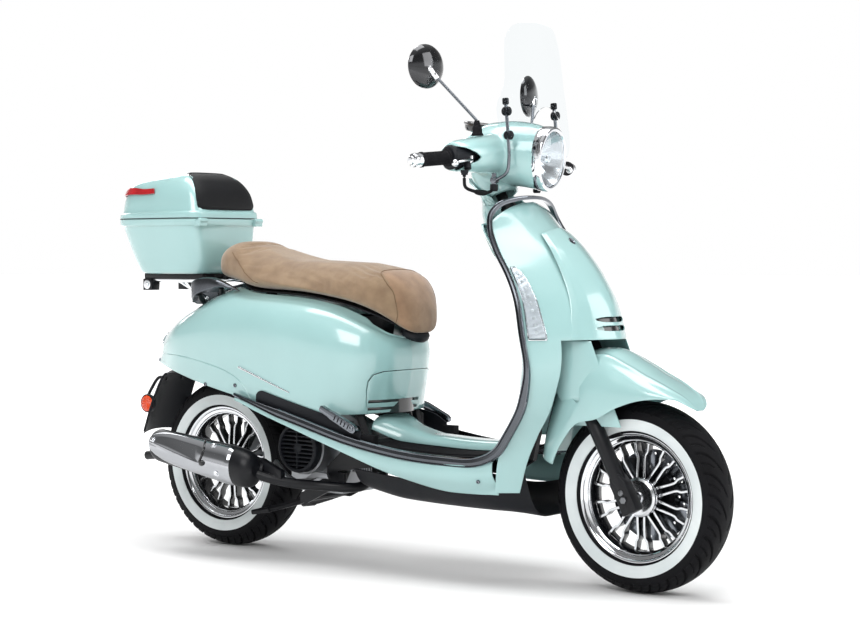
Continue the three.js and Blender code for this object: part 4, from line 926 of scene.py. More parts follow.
PANEL_LINE = [(-214, 508), (-205, 520), (-180, 528), (-120, 532), (-30, 528), (60, 514), (130, 498),
              (176, 478), (206, 452), (224, 420)]
grooves = []
for sign in (1, -1):
    line = [on_cowl(x, z, 0.0, sign) for x, z in PANEL_LINE]
    grooves.append(tube(line, 1.3, 6, 120))
slots = [block(540, 700, -120, 62, z, z + 8) for z in (405, 424)]
cowl_obj = solid("cowl", [COWL_WALL], [PAINT])
carve(cowl_obj, [plate(HATCH, -250, 250)])
piece("rear_cowl_panel", "chassis", cowl_obj, [PAINT], ["rear_cowl"], cuts=grooves, bevel=0.8)
hatch_obj = carve(solid("hatch", [COWL_WALL], [PAINT]),
                  [plate([(x + 1.8, z - 1.8 if z > 400 else z) for x, z in HATCH], -240, 240)], "INTERSECT")
piece("cowl_hatch", "chassis", hatch_obj, [PAINT], ["seat_pedestal"], cuts=slots, bevel=0.9)
piece("hatch_backing", "chassis",
      [shell(lambda u, v: (604 - 60 * abs(2 * u - 1) ** 2 - 4, mix(-112, 112, u), mix(452, 396, v)), 24, 4,
             -2)],
      [GLOSS_BLACK])
for word, sign in SIDES:
    heads = []
    for x, z in ((-196, 512), (170, 458), (52, 456)):
        p = on_cowl(x, z, 0.4, sign)
        q = on_cowl(x, z, 1.4, sign)
        heads.append(screw(p, q - p, 5.5))
    piece(f"cowl_screws_{word}", "chassis", heads, [DARK_CHROME])
    strip = []
    for k in range(41):
        x, z = mix(190, 366, k / 40), mix(508, 447, k / 40)
        strip.append(on_cowl(x, z, 1.0, sign))
    piece(f"cowl_strip_{word}", "chassis", [tube(strip, lambda t: mix(4.2, 2.0, t), 10, 90, squash=0.9)],
          [CHROME])


def lamp_face(out, zig):
    def surface(u, v):
        t = mix(0, 0.17, abs(2 * u - 1))
        p = cowl_out(t, mix(0.08, 0.5, v), 0, math.copysign(1, u - 0.5))
        wave = zig * abs((v * 7) % 1 - 0.5)
        return p[0] - out + 5 * t / 0.17 - wave, p[1] * 1.01, p[2] + 5
    return surface


piece("tail_lamp_lens", "chassis", [shell(lamp_face(9, 0), 40, 16, -3)], [RED], ["tail_lamp"],
      bevel=0.8)
piece("tail_lamp_bezel", "chassis",
      [tube([lamp_face(9, 0)(u, v) for u, v in border(16, 8)], 2.2, 8, 160)], [CHROME])


# ---------------------------------------------------------------- rear mudguard
def guard(u, v):
    """The rear mudguard."""
    side = 2 * v - 1
    x = through([(0, -150), (0.3, -218), (0.6, -262), (1, -298)])(u)
    z = through([(0, 484), (0.3, 480), (0.6, 416), (1, 308)])(u)
    half = through([(0, 62), (0.5, 72), (1, 84)])(u)
    return x + 22 * side ** 2, half * side, z - 8 * side ** 2


mudguard = [shell(guard, 40, 30, 3)]
for sign in (1, -1):
    mudguard.append(tube([guard(mix(0.32, 0.98, k / 20), 0.5 + sign * 0.49) for k in range(21)], 3.4, 8,
                         50))
    for u in (0.5, 0.66, 0.82):
        mudguard.append(tube([guard(u, 0.5 + sign * mix(0.14, 0.46, k / 8)) for k in range(9)], 2.2, 8, 30))
piece("mudguard", "engine_unit", mudguard, [BLACK], ["rear_mudguard"], bevel=0.8)
holder = [(tube([(-232, s * 30, 452), (-262, s * 34, 456), (-283, s * 44, 424), (-284, s * 62, 396)], 4.5,
                8, 40), 0)
          for s in (1, -1)]
piece("reflector_arms", "engine_unit", holder, [SATIN_BLACK])
EYE_X, EYE_Z = -271, 384
for word, sign in SIDES:
    cup = lathe([(25, -7), (26, -5), (26, 4), (24.5, 5), (23.2, 3), (0.01, 3)][::-1],
                (EYE_X, sign * 70, EYE_Z), (0, sign, 0), 48)
    facets = []
    for k in range(12):
        a, b = 2 * math.pi * k / 12, 2 * math.pi * (k + 1) / 12
        m = (a + b) / 2
        top = (EYE_X, sign * 76, EYE_Z)
        edge = [(EYE_X + 23 * math.cos(t), sign * 75, EYE_Z + 23 * math.sin(t)) for t in (a, b)]
        crest = (EYE_X + 14 * math.cos(m), sign * 77.5, EYE_Z + 14 * math.sin(m))
        facets.append((edge[0], edge[1], crest, top))
    points = [q for f in facets for q in f] + [(EYE_X, sign * 71, EYE_Z)]
    faces = []
    for k in range(12):
        a, b, c, t = (4 * k + j for j in range(4))
        faces += [(a, b, c), (a, c, t), (b, t, c), (b, a, len(points) - 1)]
    piece(f"side_reflector_{word}", "engine_unit", [(cup, 0), ((points, faces), 1)], [BLACK, ORANGE],
          crisp=12)


# ---------------------------------------------------------------- seat
SEAT = [(24, 752, 792, 62), (34, 742, 816, 92), (58, 736, 836, 114), (98, 729, 843, 126),
        (169, 712, 812, 136),
        (274, 707, 784, 140), (360, 700, 778, 140), (482, 680, 773, 136), (560, 655, 771, 126),
        (608, 630, 757, 108), (640, 608, 728, 86), (660, 600, 690, 60), (668, 612, 664, 30)]


def seat_point(t, angle, less=0.0):
    """A point of the cushion before it is puffed."""
    x, low, high, half = seat_line(t)
    centre = mix(low, high, 0.45)
    rise = signed(math.sin(angle), 0.62)
    z = centre + ((high - centre) if rise > 0 else (centre - low)) * rise * (1 - less / 70)
    narrow = 1 - 0.1 * max(0, rise) ** 2
    return np.array([x, (half - less) * signed(math.cos(angle), 0.62) * narrow, z])


seat_line = even_curve(SEAT)


def seat_body(less):
    rings = []
    for k in range(97):
        t = k / 96
        rings.append([seat_point(t, 2 * math.pi * j / 64, less) for j in range(64)])
    return loft(rings)


def puffed(name, shape, skins, voxel, pressure, most, pinned):
    """A cloth skin blown up over its start shape, held where pinned(x, y, z) says so."""
    obj = solid(name, [shape], skins)
    remesh = obj.modifiers.new("grid", "REMESH")
    remesh.mode = "VOXEL"
    remesh.voxel_size = voxel * MM
    applied(obj)
    start = [v.co.copy() for v in obj.data.vertices]
    hold = obj.vertex_groups.new(name="hold")
    for v in obj.data.vertices:
        p = (v.co - at(0, 0, 0)) / MM
        weight = pinned(*p)
        if weight > 0:
            hold.add([v.index], weight, "REPLACE")
    cloth = obj.modifiers.new("cloth", "CLOTH")
    set_up = cloth.settings
    set_up.quality = 5
    set_up.mass = 0.3
    set_up.tension_stiffness = set_up.compression_stiffness = set_up.shear_stiffness = 12
    set_up.bending_stiffness = 1.0
    set_up.use_pressure = True
    set_up.uniform_pressure_force = pressure
    set_up.vertex_group_mass = "hold"
    set_up.effector_weights.gravity = 0
    cloth.collision_settings.use_collision = False
    for step in range(1, 21):
        bpy.context.scene.frame_set(step)
    applied(obj)
    bpy.context.scene.frame_set(1)
    for v, was in zip(obj.data.vertices, start):
        shift = v.co - was
        if shift.length > most * MM:
            v.co = was + shift * (most * MM / shift.length)
    return obj


def seam_near(x, y, z):
    front = abs(x - front_seam_x(z)) if x > 520 else 99
    rear = abs(x - rear_seam_x(z)) if x < 240 and abs(y) > 40 else 99
    near = min(front, rear)
    if z < seat_low(x) + 14:
        return 1.0
    return 0.85 if near < 3.5 else 0.0


front_seam_x = through([(606, 628), (650, 642), (700, 634), (740, 606), (772, 566), (800, 540)])
rear_seam_x = through([(700, 208), (740, 176), (790, 132), (815, 112), (850, 96)])
seat_low = through([(24, 752), (34, 742), (58, 736), (98, 729), (169, 712), (274, 707), (360, 700),
                    (482, 680), (560, 655), (608, 630), (640, 608), (660, 600), (668, 612)])
seat = puffed("seat", seat_body(3), [SUEDE, SUEDE_FRONT], 5, 3.2, 12, seam_near)
for face in seat.data.polygons:
    p = (face.center - at(0, 0, 0)) / MM
    face.material_index = 1 if p.x > front_seam_x(p.z) and p.z > seat_low(p.x) - 5 else 0
seat = piece("seat_cushion", "seat", seat, [SUEDE], ["seat_pad"], levels=1, crisp=60)


def draped(obj, points, out=0.4):
    """A line of points laid on the surface of a piece."""
    work = bmesh.new()
    work.from_mesh(obj.data)
    tree = BVHTree.FromBMesh(work)
    work.free()
    laid = []
    for q in points:
        place, normal, _, _ = tree.find_nearest(at(*q))
        laid.append(tuple((place + normal * out * MM - at(0, 0, 0)) / MM))
    return laid


def seat_outline(x_of_z, low, high, offset=0.0):
    """The line across the cushion from its right hem over the top to its left hem."""
    heights = [mix(low, high, k / 24) for k in range(25)]
    side = [(x_of_z(z) + offset, z) for z in heights]
    right = []
    for x, z in side:
        t = min((k / 240 for k in range(241)), key=lambda q: abs(seat_line(q)[0] - x))
        angle = min((math.pi * (k / 160 - 0.5) for k in range(81, 161)),
                    key=lambda q: abs(seat_point(t, q)[2] - z)) if z > seat_line(t)[1] + 20 else 0.0
        p = seat_point(t, angle)
        right.append((x, -p[1], z))
    end = right[-1]
    across = [(end[0], mix(end[1], -end[1], k / 20), end[2] + 6 * math.sin(math.pi * k / 20))
              for k in range(1, 20)]
    return right + across + [(x, -y, z) for x, y, z in reversed(right)]


seams = [tube(draped(seat, seat_outline(front_seam_x, 612, 762)), 1.1, 6, 260)]
for sign in (-1, 1):
    line = [(rear_seam_x(z), sign * 150, z) for z in np.linspace(706, 838, 30)]
    seams.append(tube(draped(seat, line), 0.9, 6, 90))
piece("seat_seams", "seat", seams, [THREAD])

SEAT_FLOOR = [(104, 726.5, 70), (169, 710.5, 96), (274, 705.5, 102), (360, 698.5, 102), (482, 678, 98),
              (560, 653, 80), (604, 630, 50), (645, 602.5, 30)]
base_rings = []
for k in range(41):
    x = mix(104, 645, k / 40)
    z = through([(a, b) for a, b, _ in SEAT_FLOOR])(x)
    half = through([(a, c) for a, _, c in SEAT_FLOOR])(x)
    base_rings.append([(x, -half, z - 5), (x, half, z - 5), (x, half, z), (x, -half, z)])
nose = lathe([(0.01, -16), (34, -16), (40, -8), (40, 2), (34, 8), (0.01, 8)], (636, 0, 604), (0.45, 0, 1),
             40, squeeze=0.9)
piece("seat_underside", "seat", [loft(base_rings), nose], [BLACK], ["seat_base"],
      bevel=1.0)


# ---------------------------------------------------------------- luggage case and rack
CASE_X, CASE_HALF, SEAL_Z = -187, 170, 905


def case_point(z, a, b, shift, angle):
    """Outline of the case at one height: tight corners in front, round ones behind."""
    power = mix(0.6, 0.24, (1 + math.cos(angle)) / 2)
    return CASE_X + shift + a * signed(math.cos(angle), power), b * signed(math.sin(angle), power), z


def sloped(p):
    """The roof of the lid falls towards the rear."""
    along = min(1.0, max(0.0, (p[0] - CASE_X + CASE_HALF) / (2 * CASE_HALF)))
    z = SEAL_Z + (p[2] - SEAL_Z) * mix(0.72, 1.06, along ** 0.6) if p[2] > SEAL_Z else p[2]
    return p[0], p[1], z


def case_ring(z, a, b, shift=0.0, count=120):
    return [sloped(case_point(z, a, b, shift, 2 * math.pi * (k + 0.5) / count)) for k in range(count)]


def case_shape(levels, count=120):
    keys = [[lv[0] for lv in levels]] + [[lv[k] if len(lv) > k else 0 for lv in levels] for k in (1, 2, 3)]
    return loft([case_ring(z, a, b, s, count) for z, a, b, s in zip(*keys)])


BASE_OUT = [(752, 121, 96, 22), (753.5, 126, 101, 22), (757, 131, 105, 22), (764, 135.5, 109, 20.4),
            (790, 142.5, 116.5, 16), (820, 150, 124, 12), (850, 156, 130, 7), (872, 160, 133.6, 3),
            (882, 162, 135, 2),
            (884, 163, 136, 2), (886, 167, 140.5, 1), (888, 169, 142, 0), (896, 170, 143, 0),
            (903, 170, 143, 0), (904.2, 169, 142, 0)]
BASE_IN = [(756, 123, 97, 22), (764, 130, 104, 21), (820, 146, 120, 12), (920, 160, 132, -2)]
base_out = case_shape(BASE_OUT)
case_obj = carve(solid("case", [base_out], [PAINT, BLACK]), [case_shape(BASE_IN, 60)])
piece("case_tub", "chassis", case_obj, [PAINT], ["topcase_base"], crisp=30)
ears = []
for side in (-1, 1):
    ears += [block(-34, -9, side * 112 - 14, side * 112 + 14, 884, 900),
             lathe([(0.01, -15), (6, -15), (7, -14), (7, 14), (6, 15), (0.01, 15)], (-13, side * 112, 899),
                   (0, 1, 0), 24)]
piece("case_hinge_ears", "chassis", ears, [PAINT], bevel=1.4)
piece("case_foot", "chassis", [block(-268, -42, -84, 84, 742, 753)], [SATIN_BLACK], bevel=2.0)
piece("case_foot_ribs", "chassis", [block(-270, -38, y - 5, y + 5, 738, 748)
                                    for y in (-76, -38, 0, 38, 76)],
      [SATIN_BLACK], bevel=1.0)

LID_OUT = [(905, 169, 142), (906, 170, 143), (914, 170, 143), (920, 169.4, 142.5), (923, 167, 140.5),
           (925, 163.5, 137), (930, 162, 135.6, 0), (948, 159, 133.6, -1), (968, 154.5, 130.5, -3),
           (986, 147.5, 126, -6),
           (1004, 137, 119, -10), (1016, 126.5, 111, -14), (1026, 112, 99, -18.4), (1033, 95, 85, -21.4),
           (1038, 73, 66, -24), (1040, 48, 44, -25), (1040.8, 20, 18, -25)]
LID_IN = [(890, 158, 131), (926, 158, 131), (968, 150.5, 126.5, -3), (1002, 133, 115, -10),
          (1022, 108, 95, -18), (1035, 62, 56, -25)]
lid_obj = carve(solid("lid", [case_shape(LID_OUT)], [PAINT]), [case_shape(LID_IN, 60)])
piece("case_lid_shell", "case_lid", lid_obj, [PAINT], ["topcase_lid"], crisp=32)


def lid_reach(z):
    """Half length, half width and shift of the lid at a height."""
    keys = [(lv[0], lv[1], lv[2], lv[3] if len(lv) > 3 else 0) for lv in LID_OUT]
    return [float(np.interp(z, [k[0] for k in keys], [k[j] for k in keys])) for j in (1, 2, 3)]


def on_lid(angle, z, out=0.0):
    a, b, shift = lid_reach(z)
    return sloped(case_point(z, a + out, b + out, shift, angle))


def red_band(out, zig=0.0):
    def surface(u, v):
        side = 2 * u - 1
        angle = math.pi + side * 1.574
        low = 984 + 2 * abs(side) ** 2 - 8 * abs(side) ** 8
        high = 1008 - 3 * abs(side) ** 2 - 12 * abs(side) ** 14
        wave = zig * abs((u * 30) % 1 - 0.5)
        return on_lid(angle, mix(low, high, v), out + wave)
    return surface


piece("case_reflector", "case_lid", [shell(red_band(3.2, 0.7), 240, 8, 3)], [RED], crisp=20)
piece("case_seal", "case_lid", [tube([on_lid(2 * math.pi * k / 96, 906, -0.6) for k in range(97)], 1.3, 6,
                                     240)],
      [BLACK])
piece("case_lock", "chassis", [(lathe([(0.01, 8), (9, 8), (11, 6), (12, 0)], (-341, 0, 846), (-1, 0, -0.2),
                                      30), 0),
                               (block(-357, -348, -24, 24, 862, 902), 1)], [CHROME, BLACK], bevel=0.0)
piece("case_latch", "case_lid", [block(-360, -352, -20, 20, 900, 924)], [PAINT], bevel=2.0)


def back_pad_point(side, z, out):
    reach = through([(927, 167), (968, 157.5), (1004, 134), (1026, 101), (1034, 84)])(z)
    up = min(1.0, max(0.0, (z - 927) / 107))
    half = mix(114, 76, up ** 2.4)
    fall = mix(5, 9, up) * abs(side) ** 3
    return sloped((CASE_X + reach - fall + out, side * half, z))


def back_pad(u, v):
    side, w = signed(2 * u - 1, 0.9), v
    round_in = (1 - abs(2 * u - 1) ** 7) ** 0.5 * (1 - abs(2 * w - 1) ** 7) ** 0.5
    z = mix(927, 1034, w) - 5 * abs(side) ** 6 * (w - 0.3)
    return back_pad_point(side, z, -8 + 11 * round_in)


pad = piece("back_pad", "case_lid", [shell(back_pad, 64, 40, -7)], [PAD], ["backrest_pad"],
            bevel=1.5, segments=3)
edge_line = [back_pad(u, v) for u, v in [(t / 12, 0.02) for t in range(1, 12)] +
             [(0.985, t / 10) for t in range(1, 10)] +
             [(1 - t / 12, 0.98) for t in range(1, 12)] + [(0.015, 1 - t / 10) for t in range(1, 10)]]
edge_line.append(edge_line[0])
piece("back_pad_piping", "case_lid", [tube(edge_line, 2.0, 8, 160)], [PAD])

rack = []
for sign in (-1, 1):
    rack += [(tube([(30, sign * 66, 716), (-30, sign * 68, 733), (-120, sign * 70, 735),
                    (-262, sign * 70, 735)],
                   7, 16, 60), 0),
             (rod((-150, sign * 62, 732), (-62, sign * 44, 684), 5), 0),
             (rod((-120, sign * 70, 733), (-96, sign * 40, 682), 5.5), 0),
             (block(-112, -80, sign * 40 - 12, sign * 40 + 12, 672, 680), 1)]
    box = plate([(-272, 706), (-238, 706), (-236, 724), (-240, 738), (-272, 738)], sign * 70 - 15,
                sign * 70 + 15)
    rack += [(box, 1), (lathe([(0.01, 4), (6, 4), (7, 3), (8, 0)], (-255, sign * 86, 722), (0, sign, 0),
                              6), 0),
             (lathe([(0.01, 1), (13, 1), (13, 0)], (-255, sign * 86, 722), (0, sign, 0), 24), 0)]
rack += [(rod((x, -70, 735), (x, 70, 735), 6.5), 0) for x in (-262, -150, -60)]
piece("rack_tubes", "chassis", rack, [CHROME, SATIN_BLACK], ["luggage_rack"], bevel=0.8)

RAIL = [(122, 112, 708), (84, 122, 722), (30, 126, 732), (-26, 120, 726), (-66, 66, 706)]


def grab_bar():
    count = 160
    line = spline([(x, -y, z) for x, y, z in RAIL] + [(-76, 0, 706)] +
                  [(x, y, z) for x, y, z in RAIL[::-1]], count)
    rings = []
    for i, p in enumerate(line):
        along = heading(line, i)
        out = np.cross((0, 0, 1), along)
        out /= np.linalg.norm(out)
        if out[1] * p[1] < 0 or (abs(p[1]) < 20 and out[0] > 0):
            out = -out
        t = min(i, count - i) / count
        wide = 15 * min(1.0, 0.16 + t / 0.13)
        high = 12 * min(1.0, 0.12 + t / 0.16)
        drop = 24 * min(1.0, max(0.0, (t - 0.08) / 0.2))
        section = [(-1, 0.55), (-0.6, 0.95), (0.1, 1.0), (0.75, 0.75), (1.0, 0.25), (1.0, -0.6 - drop / 11),
                   (0.8, -0.9 - drop / 11), (0.55, -0.7 - drop / 11), (0.5, -0.3), (-0.2, -0.45),
                   (-0.9, -0.35)]
        rings.append([p + out * wide * a + np.array([0, 0, high * b]) for a, b in section])
    return loft(rings)


piece("grab_bar", "chassis", [grab_bar()], [GUNMETAL], ["grab_rail"], crisp=38)
stays = []
for sign in (-1, 1):
    stays += [tube([(60, sign * 116, 716), (50, sign * 104, 702), (40, sign * 92, 694)], 7, 10, 20),
              block(34, 66, sign * 96 - 8, sign * 96 + 8, 688, 702),
              tube([(-30, sign * 108, 700), (-40, sign * 90, 684), (-44, sign * 70, 670)], 8, 10, 20)]
piece("grab_bar_stays", "chassis", stays, [SATIN_BLACK], bevel=0.8)


# ---------------------------------------------------------------- headset and handlebar
def reskin(material, *nodes):
    """A CAD node that keeps its shape gets a finer material."""
    for node in nodes:
        for holder in bpy.data.objects[node].material_slots:
            holder.material = material


def rotated_y(shape, degrees, pivot):
    return moved(shape, Matrix.Rotation(math.radians(degrees), 4, "Y"), pivot)


HEADSET = [(824, 1076, 46, 26), (832, 1070, 70, 42), (858, 1063, 84, 62), (900, 1056, 90, 77),
           (950, 1053, 90, 81), (1000, 1046, 78, 81), (1044, 1037, 57.5, 76.5)]
ARM = [(50, 930, 1052, 48, 50), (110, 932, 1048, 47, 46), (170, 928, 1043, 42, 42),
       (208, 920, 1040, 38, 38), (222, 915, 1039, 34, 34), (227, 913, 1038, 27, 27)]


def headset_body(less):
    line = [through([(row[0], row[k]) for row in HEADSET]) for k in (1, 2, 3)]
    ends = [(822, 1076, 20, 10)] if not less else []
    rings = [ring((x, 0, z), a, b, "x", 72) for x, z, a, b in ends]
    for x in np.linspace(824, 1044 + less * 3, 36):
        z, a, b = (f(min(x, 1044)) for f in line)
        rings.append(ring((x, 0, z), a - less, b - less, "x", 72))
    return loft(rings)


def headset_arm(sign, less):
    line = [through([(row[0], row[k]) for row in ARM]) for k in (1, 2, 3, 4)]
    rings = []
    for y in np.linspace(50, 227 - less * 1.2, 34):
        x, z, a, b = (f(y) for f in line)
        rings.append(ring((x, sign * y, z), a - less, b - less, "y", 56))
    return loft(rings)


def fused(name, shapes, skins, voxel, rounds):
    """Shapes melted into one smooth body."""
    obj = solid(name, shapes, skins)
    melt = obj.modifiers.new("melt", "REMESH")
    melt.mode = "VOXEL"
    melt.voxel_size = voxel * MM
    ease = obj.modifiers.new("ease", "SMOOTH")
    ease.factor = 0.5
    ease.iterations = rounds
    return applied(obj)


neck = lathe([(46, 812), (46, 826), (47, 850), (52, 880), (50, 900)], STEER_FOOT, SLOPE, 64)
headset = fused("headset", [headset_body(0), headset_arm(1, 0), headset_arm(-1, 0), neck], [PAINT], 3.2, 10)
inside = [headset_body(3.5), headset_arm(1, 3.5), headset_arm(-1, 3.5)]
openings = []
for sign in (1, -1):
    wedge = [(-262, 1066), (-228, 1064), (-206, 1058), (-184, 1048), (-170, 1038), (-176, 1030),
             (-194, 1022), (-208, 1014), (-216, 1000), (-262, 990)]
    openings.append(([(x, -sign * y, z) for x in (924, 1010) for y, z in wedge], prism_faces(len(wedge))))
    openings.append(rod((911, sign * 205, 1036), (905, sign * 262, 1032), 27, sides=40))
face_cut = rotated_y(block(1043, 1130, -120, 120, 900, 1180), 7, (1043, 0, 1037))
pod = lathe([(43.5, 0), (43.5, 90)], (839, 0, 1092), (0.16, 0, 1), 48, squeeze=1.25)
carve(headset, inside)
carve(headset, openings)
piece("headset_cowl", "steering", headset, [PAINT], ["headset_shell"], bevel=0.9,
      cuts=[face_cut, pod, rod(steer_line(800), steer_line(880), 34)])
reskin(STEEL, "handlebar")
reskin(SATIN_BLACK, "steering_stem")
# The headset seam line is drawn in the darker mint copy, as painted shade in the gap between the two
# halves.
seam_ring = [(952 + 6 * math.sin(3 * t), 92 * math.sin(t), 1053 + 83 * math.cos(t))
             for t in np.linspace(-2.7, -0.9, 30)]
for sign in (1, -1):
    line = draped(headset, [(x, -sign * y, z) for x, y, z in seam_ring], -0.2)
    piece(f"headset_joint_{'left' if sign > 0 else 'right'}", "steering", [tube(line, 0.7, 6, 80)],
          [SEAM_SHADE_PAINT])

for word, sign in SIDES:
    def bar(y, lift=0.0, fore=0.0, sign=sign):
        t = (y - 232) / 108
        return mix(914, 890, t) + fore, sign * y, mix(1036, 1026, t) + lift
    housing = [rod(bar(168), bar(228), 27, 30, 48), rod(bar(228), bar(233), 30, 26, 48),
               tube([bar(196, -10, 14), bar(200, -20, 26), bar(204, -30, 32)], 9, 12, 24)]
    if sign < 0:
        housing.append(tube([(948, -212, 1022), (948, -212, 1004)], 7.5, 16, 12))
        housing.append(lathe([(9.5, 0), (9.5, 6), (8, 8), (8, 12)], (948, -212, 1006), (0, 0, -1), 24))
    piece(f"switch_housing_{word}", "steering", housing, [BLACK], bevel=1.0)
    buttons = [(lathe([(0.01, 4), (5, 4), (6, 3), (6, 0)], bar(212, 12, -27), (-1, 0, 0.3), 24), 0),
               (lathe([(0.01, 4), (5, 4), (6, 3), (6, 0)], bar(212, -6, -29), (-1, 0, 0), 24), 1)]
    piece(f"switches_{word}", "steering", buttons, [ORANGE, WHITE])
    profile = [(14, 233), (20.5, 233.5), (21, 235), (20.5, 238), (17.2, 239.5)]
    for k in range(22):
        y = 242 + 3.1 * k
        profile += [(16.2, y), (16.2, y + 1.2), (17, y + 1.7), (17, y + 2.6)]
    profile += [(16.4, 311), (17.6, 312), (18.6, 314), (18.6, 318), (17.4, 320), (14, 320), (13.2, 320),
                (13.2, 233)]
    axis = np.subtract(bar(340), bar(232))
    axis /= np.linalg.norm(axis)
    grip = lathe([(r, y - 232) for r, y in profile + [(14, 233)]], bar(232), axis, 72)
    body = "throttle" if sign < 0 else "steering"
    piece(f"grip_{word}", body, [grip], [RUBBER], ["throttle_grip" if sign < 0 else "left_grip"],
          crisp=40)
    crown = [(0.01, 352), (7, 352), (9.5, 350.5), (10.5, 347), (15.5, 344), (17, 340), (17.2, 334),
             (16, 330), (16.6, 327), (16.6, 321), (13, 320.5), (0.01, 320.5)]
    weight = solid(f"bar_end_{word}", [lathe([(r, y - 232) for r, y in crown], bar(232), axis, 64)],
                   [CHROME])
    notches = []
    n, s, t = basis(axis)
    for k in range(8):
        a = 2 * math.pi * k / 8
        spot = np.array(bar(232)) + n * (340 - 232) + 18.5 * (s * math.cos(a) + t * math.sin(a))
        notches.append(rod(spot, spot + n * 14, 3.2, 3.2, 16))
    piece(f"bar_end_{word}", "steering", weight, [CHROME], cuts=notches, bevel=0.6)
    lever = tube([(946, sign * 186, 1032), (951, sign * 205, 1030), (954, sign * 226, 1027),
                  (948, sign * 243, 1023)],
                 lambda q: mix(8.5, 5.0, q), 16, 40, squash=0.62)
    lever_parts = [lever, lathe([(0.01, 9), (3.4, 8.4), (6.4, 6.4), (8.4, 3.4), (9, 0), (8.4, -3.4),
                                 (6.4, -6.4),
                                 (3.4, -8.4), (0.01, -9)], (947, sign * 248, 1021.5), (0, 0, 1), 32),
                   rod((946, sign * 186, 1023), (946, sign * 186, 1041), 8.5, 8.5, 32)]
    piece(f"lever_{word}_blade", f"lever_{word}", lever_parts, [MACHINED], [f"brake_lever_{word}"],
          bevel=0.6)

HOSE = [(948, -212, 1004), (948, -213, 984), (946, -206, 966), (950, -176, 956), (952, -140, 953),
        (946, -104, 957), (934, -72, 966), (924, -47, 971)]
hose_line = spline(HOSE, 24)
piece("front_brake_hose", "steering", [tube(HOSE, 4, 14, 72)], [RUBBER], ["brake_hose"])
piece("hose_sleeve", "steering",
      [tube(hose_line[9:15], lambda q: 5.0 + 2.2 * math.sin(math.pi * q) ** 0.5, 14, 30)], [RUBBER])


# ---------------------------------------------------------------- headlight and instruments
LAMP, LAMP_TILT = (1046, 0, 1037), 7


def lamp_part(profile, count=96, shift=0.0, squeeze=75 / 57):
    return rotated_y(lathe(profile, (LAMP[0] + shift, 0, LAMP[2]), (1, 0, 0), count, squeeze=squeeze),
                     LAMP_TILT, LAMP)


rim_profile = [(55, -22), (58.5, -20), (60.2, -14), (60.8, 0), (60.6, 8), (59.4, 13), (56.6, 15.6),
               (53.6, 15.4), (51.8, 13), (51.2, 9), (51.2, -22), (55, -22)]
piece("headlight_rim", "steering", [lamp_part(rim_profile)], [CHROME], ["headlight"], crisp=28)


def reflector():
    """The faceted bowl of the headlight."""
    profile = [(50.8, 9), (47, 2), (42, -7), (36, -15), (29, -22), (21, -28), (13, -31.5), (8, -33),
               (8, -34.5)]
    rings = []
    count = 96
    for r, d in profile:
        row = []
        for k in range(count):
            a = 2 * math.pi * k / count
            dent = 1.6 * abs((k / 6) % 1 - 0.5) * min(1, (r - 8) / 20)
            row.append((LAMP[0] + d - dent, r * math.cos(a), LAMP[2] + r * 75 / 57 * math.sin(a)))
        rings.append(row)
    back = [[(x - 2, y, z) for x, y, z in row] for row in reversed(rings)]
    return rotated_y(loft(rings + back, True), LAMP_TILT, LAMP)


piece("headlight_reflector", "steering", [reflector()], [MACHINED], crisp=14)
bulb = [(lamp_part([(0.01, 0), (4, -1.5), (5.6, -5), (6, -10), (6, -30)], 32, squeeze=1), 0),
        (lamp_part([(0.01, 4), (8, 3), (11, -1), (11, -3), (8, -2), (0.01, -1)], 32, squeeze=1), 1)]
piece("headlight_bulb", "steering", bulb, [LED, CHROME])
glass = [(0.01, 25), (14, 24.4), (27, 22.4), (38, 19), (46, 15), (51, 11), (51, 8.6), (45.4, 12.6),
         (37.6, 16.6), (26.8, 20), (14, 22), (0.01, 22.6)]
piece("headlight_glass", "steering", [lamp_part(glass)], [LENS], crisp=30)
DIAL_AT, bezel_axis = (850, 0, 1118), (0.16, 0, 1)
cluster = [(lathe([(0.01, -8), (36, -8), (39, -2), (40, 6), (42.5, 9), (42.5, 12.5), (40, 14.5), (37, 13),
                   (35, 9), (34, 5), (0.01, 5)], DIAL_AT, bezel_axis, 72, squeeze=1.24), 0)]
n, s, t = basis(bezel_axis)
marks = []
for k in range(29):
    a = math.radians(-40 + 260 * k / 28)
    long = 6 if k % 4 == 0 else 3.4
    mid = np.array(DIAL_AT) + n * 5.6 + (30 - long / 2) * (-s * 1.24 * math.cos(a) + t * math.sin(a)) * 0.96
    way = (-s * math.cos(a) + t * math.sin(a))
    marks.append(rod(mid - way * long / 2, mid + way * long / 2, 0.5, 0.5, 6))
needle = rod(np.array(DIAL_AT) + n * 6.4, np.array(DIAL_AT) + n * 6.4 + (s * 20 + t * 12), 1.0, 0.4, 8)
cluster += [(lathe([(0.01, 1), (33.6, 1), (33.6, 0), (0.01, 0)], (850, 0, 1123.4), bezel_axis, 60,
                   squeeze=1.24), 1)]
cluster += [(m, 2) for m in marks] + [(needle, 3), (lathe([(0.01, 4), (3.4, 4), (4, 3), (4, 0)],
                                                          (851, 0, 1123.5), bezel_axis, 24), 0)]
piece("instruments", "steering", cluster, [GLOSS_BLACK, DIAL, WHITE, ORANGE], ["instrument_cluster"],
      crisp=30)
piece("instrument_glass", "steering",
      [lathe([(0.01, 12), (20, 11.4), (35, 9.8), (35, 9), (20, 10.4), (0.01, 11)], DIAL_AT, bezel_axis, 60,
             squeeze=1.24)], [LENS])


# ---------------------------------------------------------------- windscreen
SCREEN_FOOT, SCREEN_TOP = 1042, 1371
screen_x = through([(SCREEN_FOOT, 1063), (1160, 1046), (1290, 1030), (SCREEN_TOP, 1016)])
screen_half = through([(1042, 152), (1120, 154), (1150, 154), (1222, 128), (1290, 121), (1336, 113),
                       (1371, 106)])
screen_low = through([(0, 0), (0.4, 0), (0.75, 25), (1, 70)])


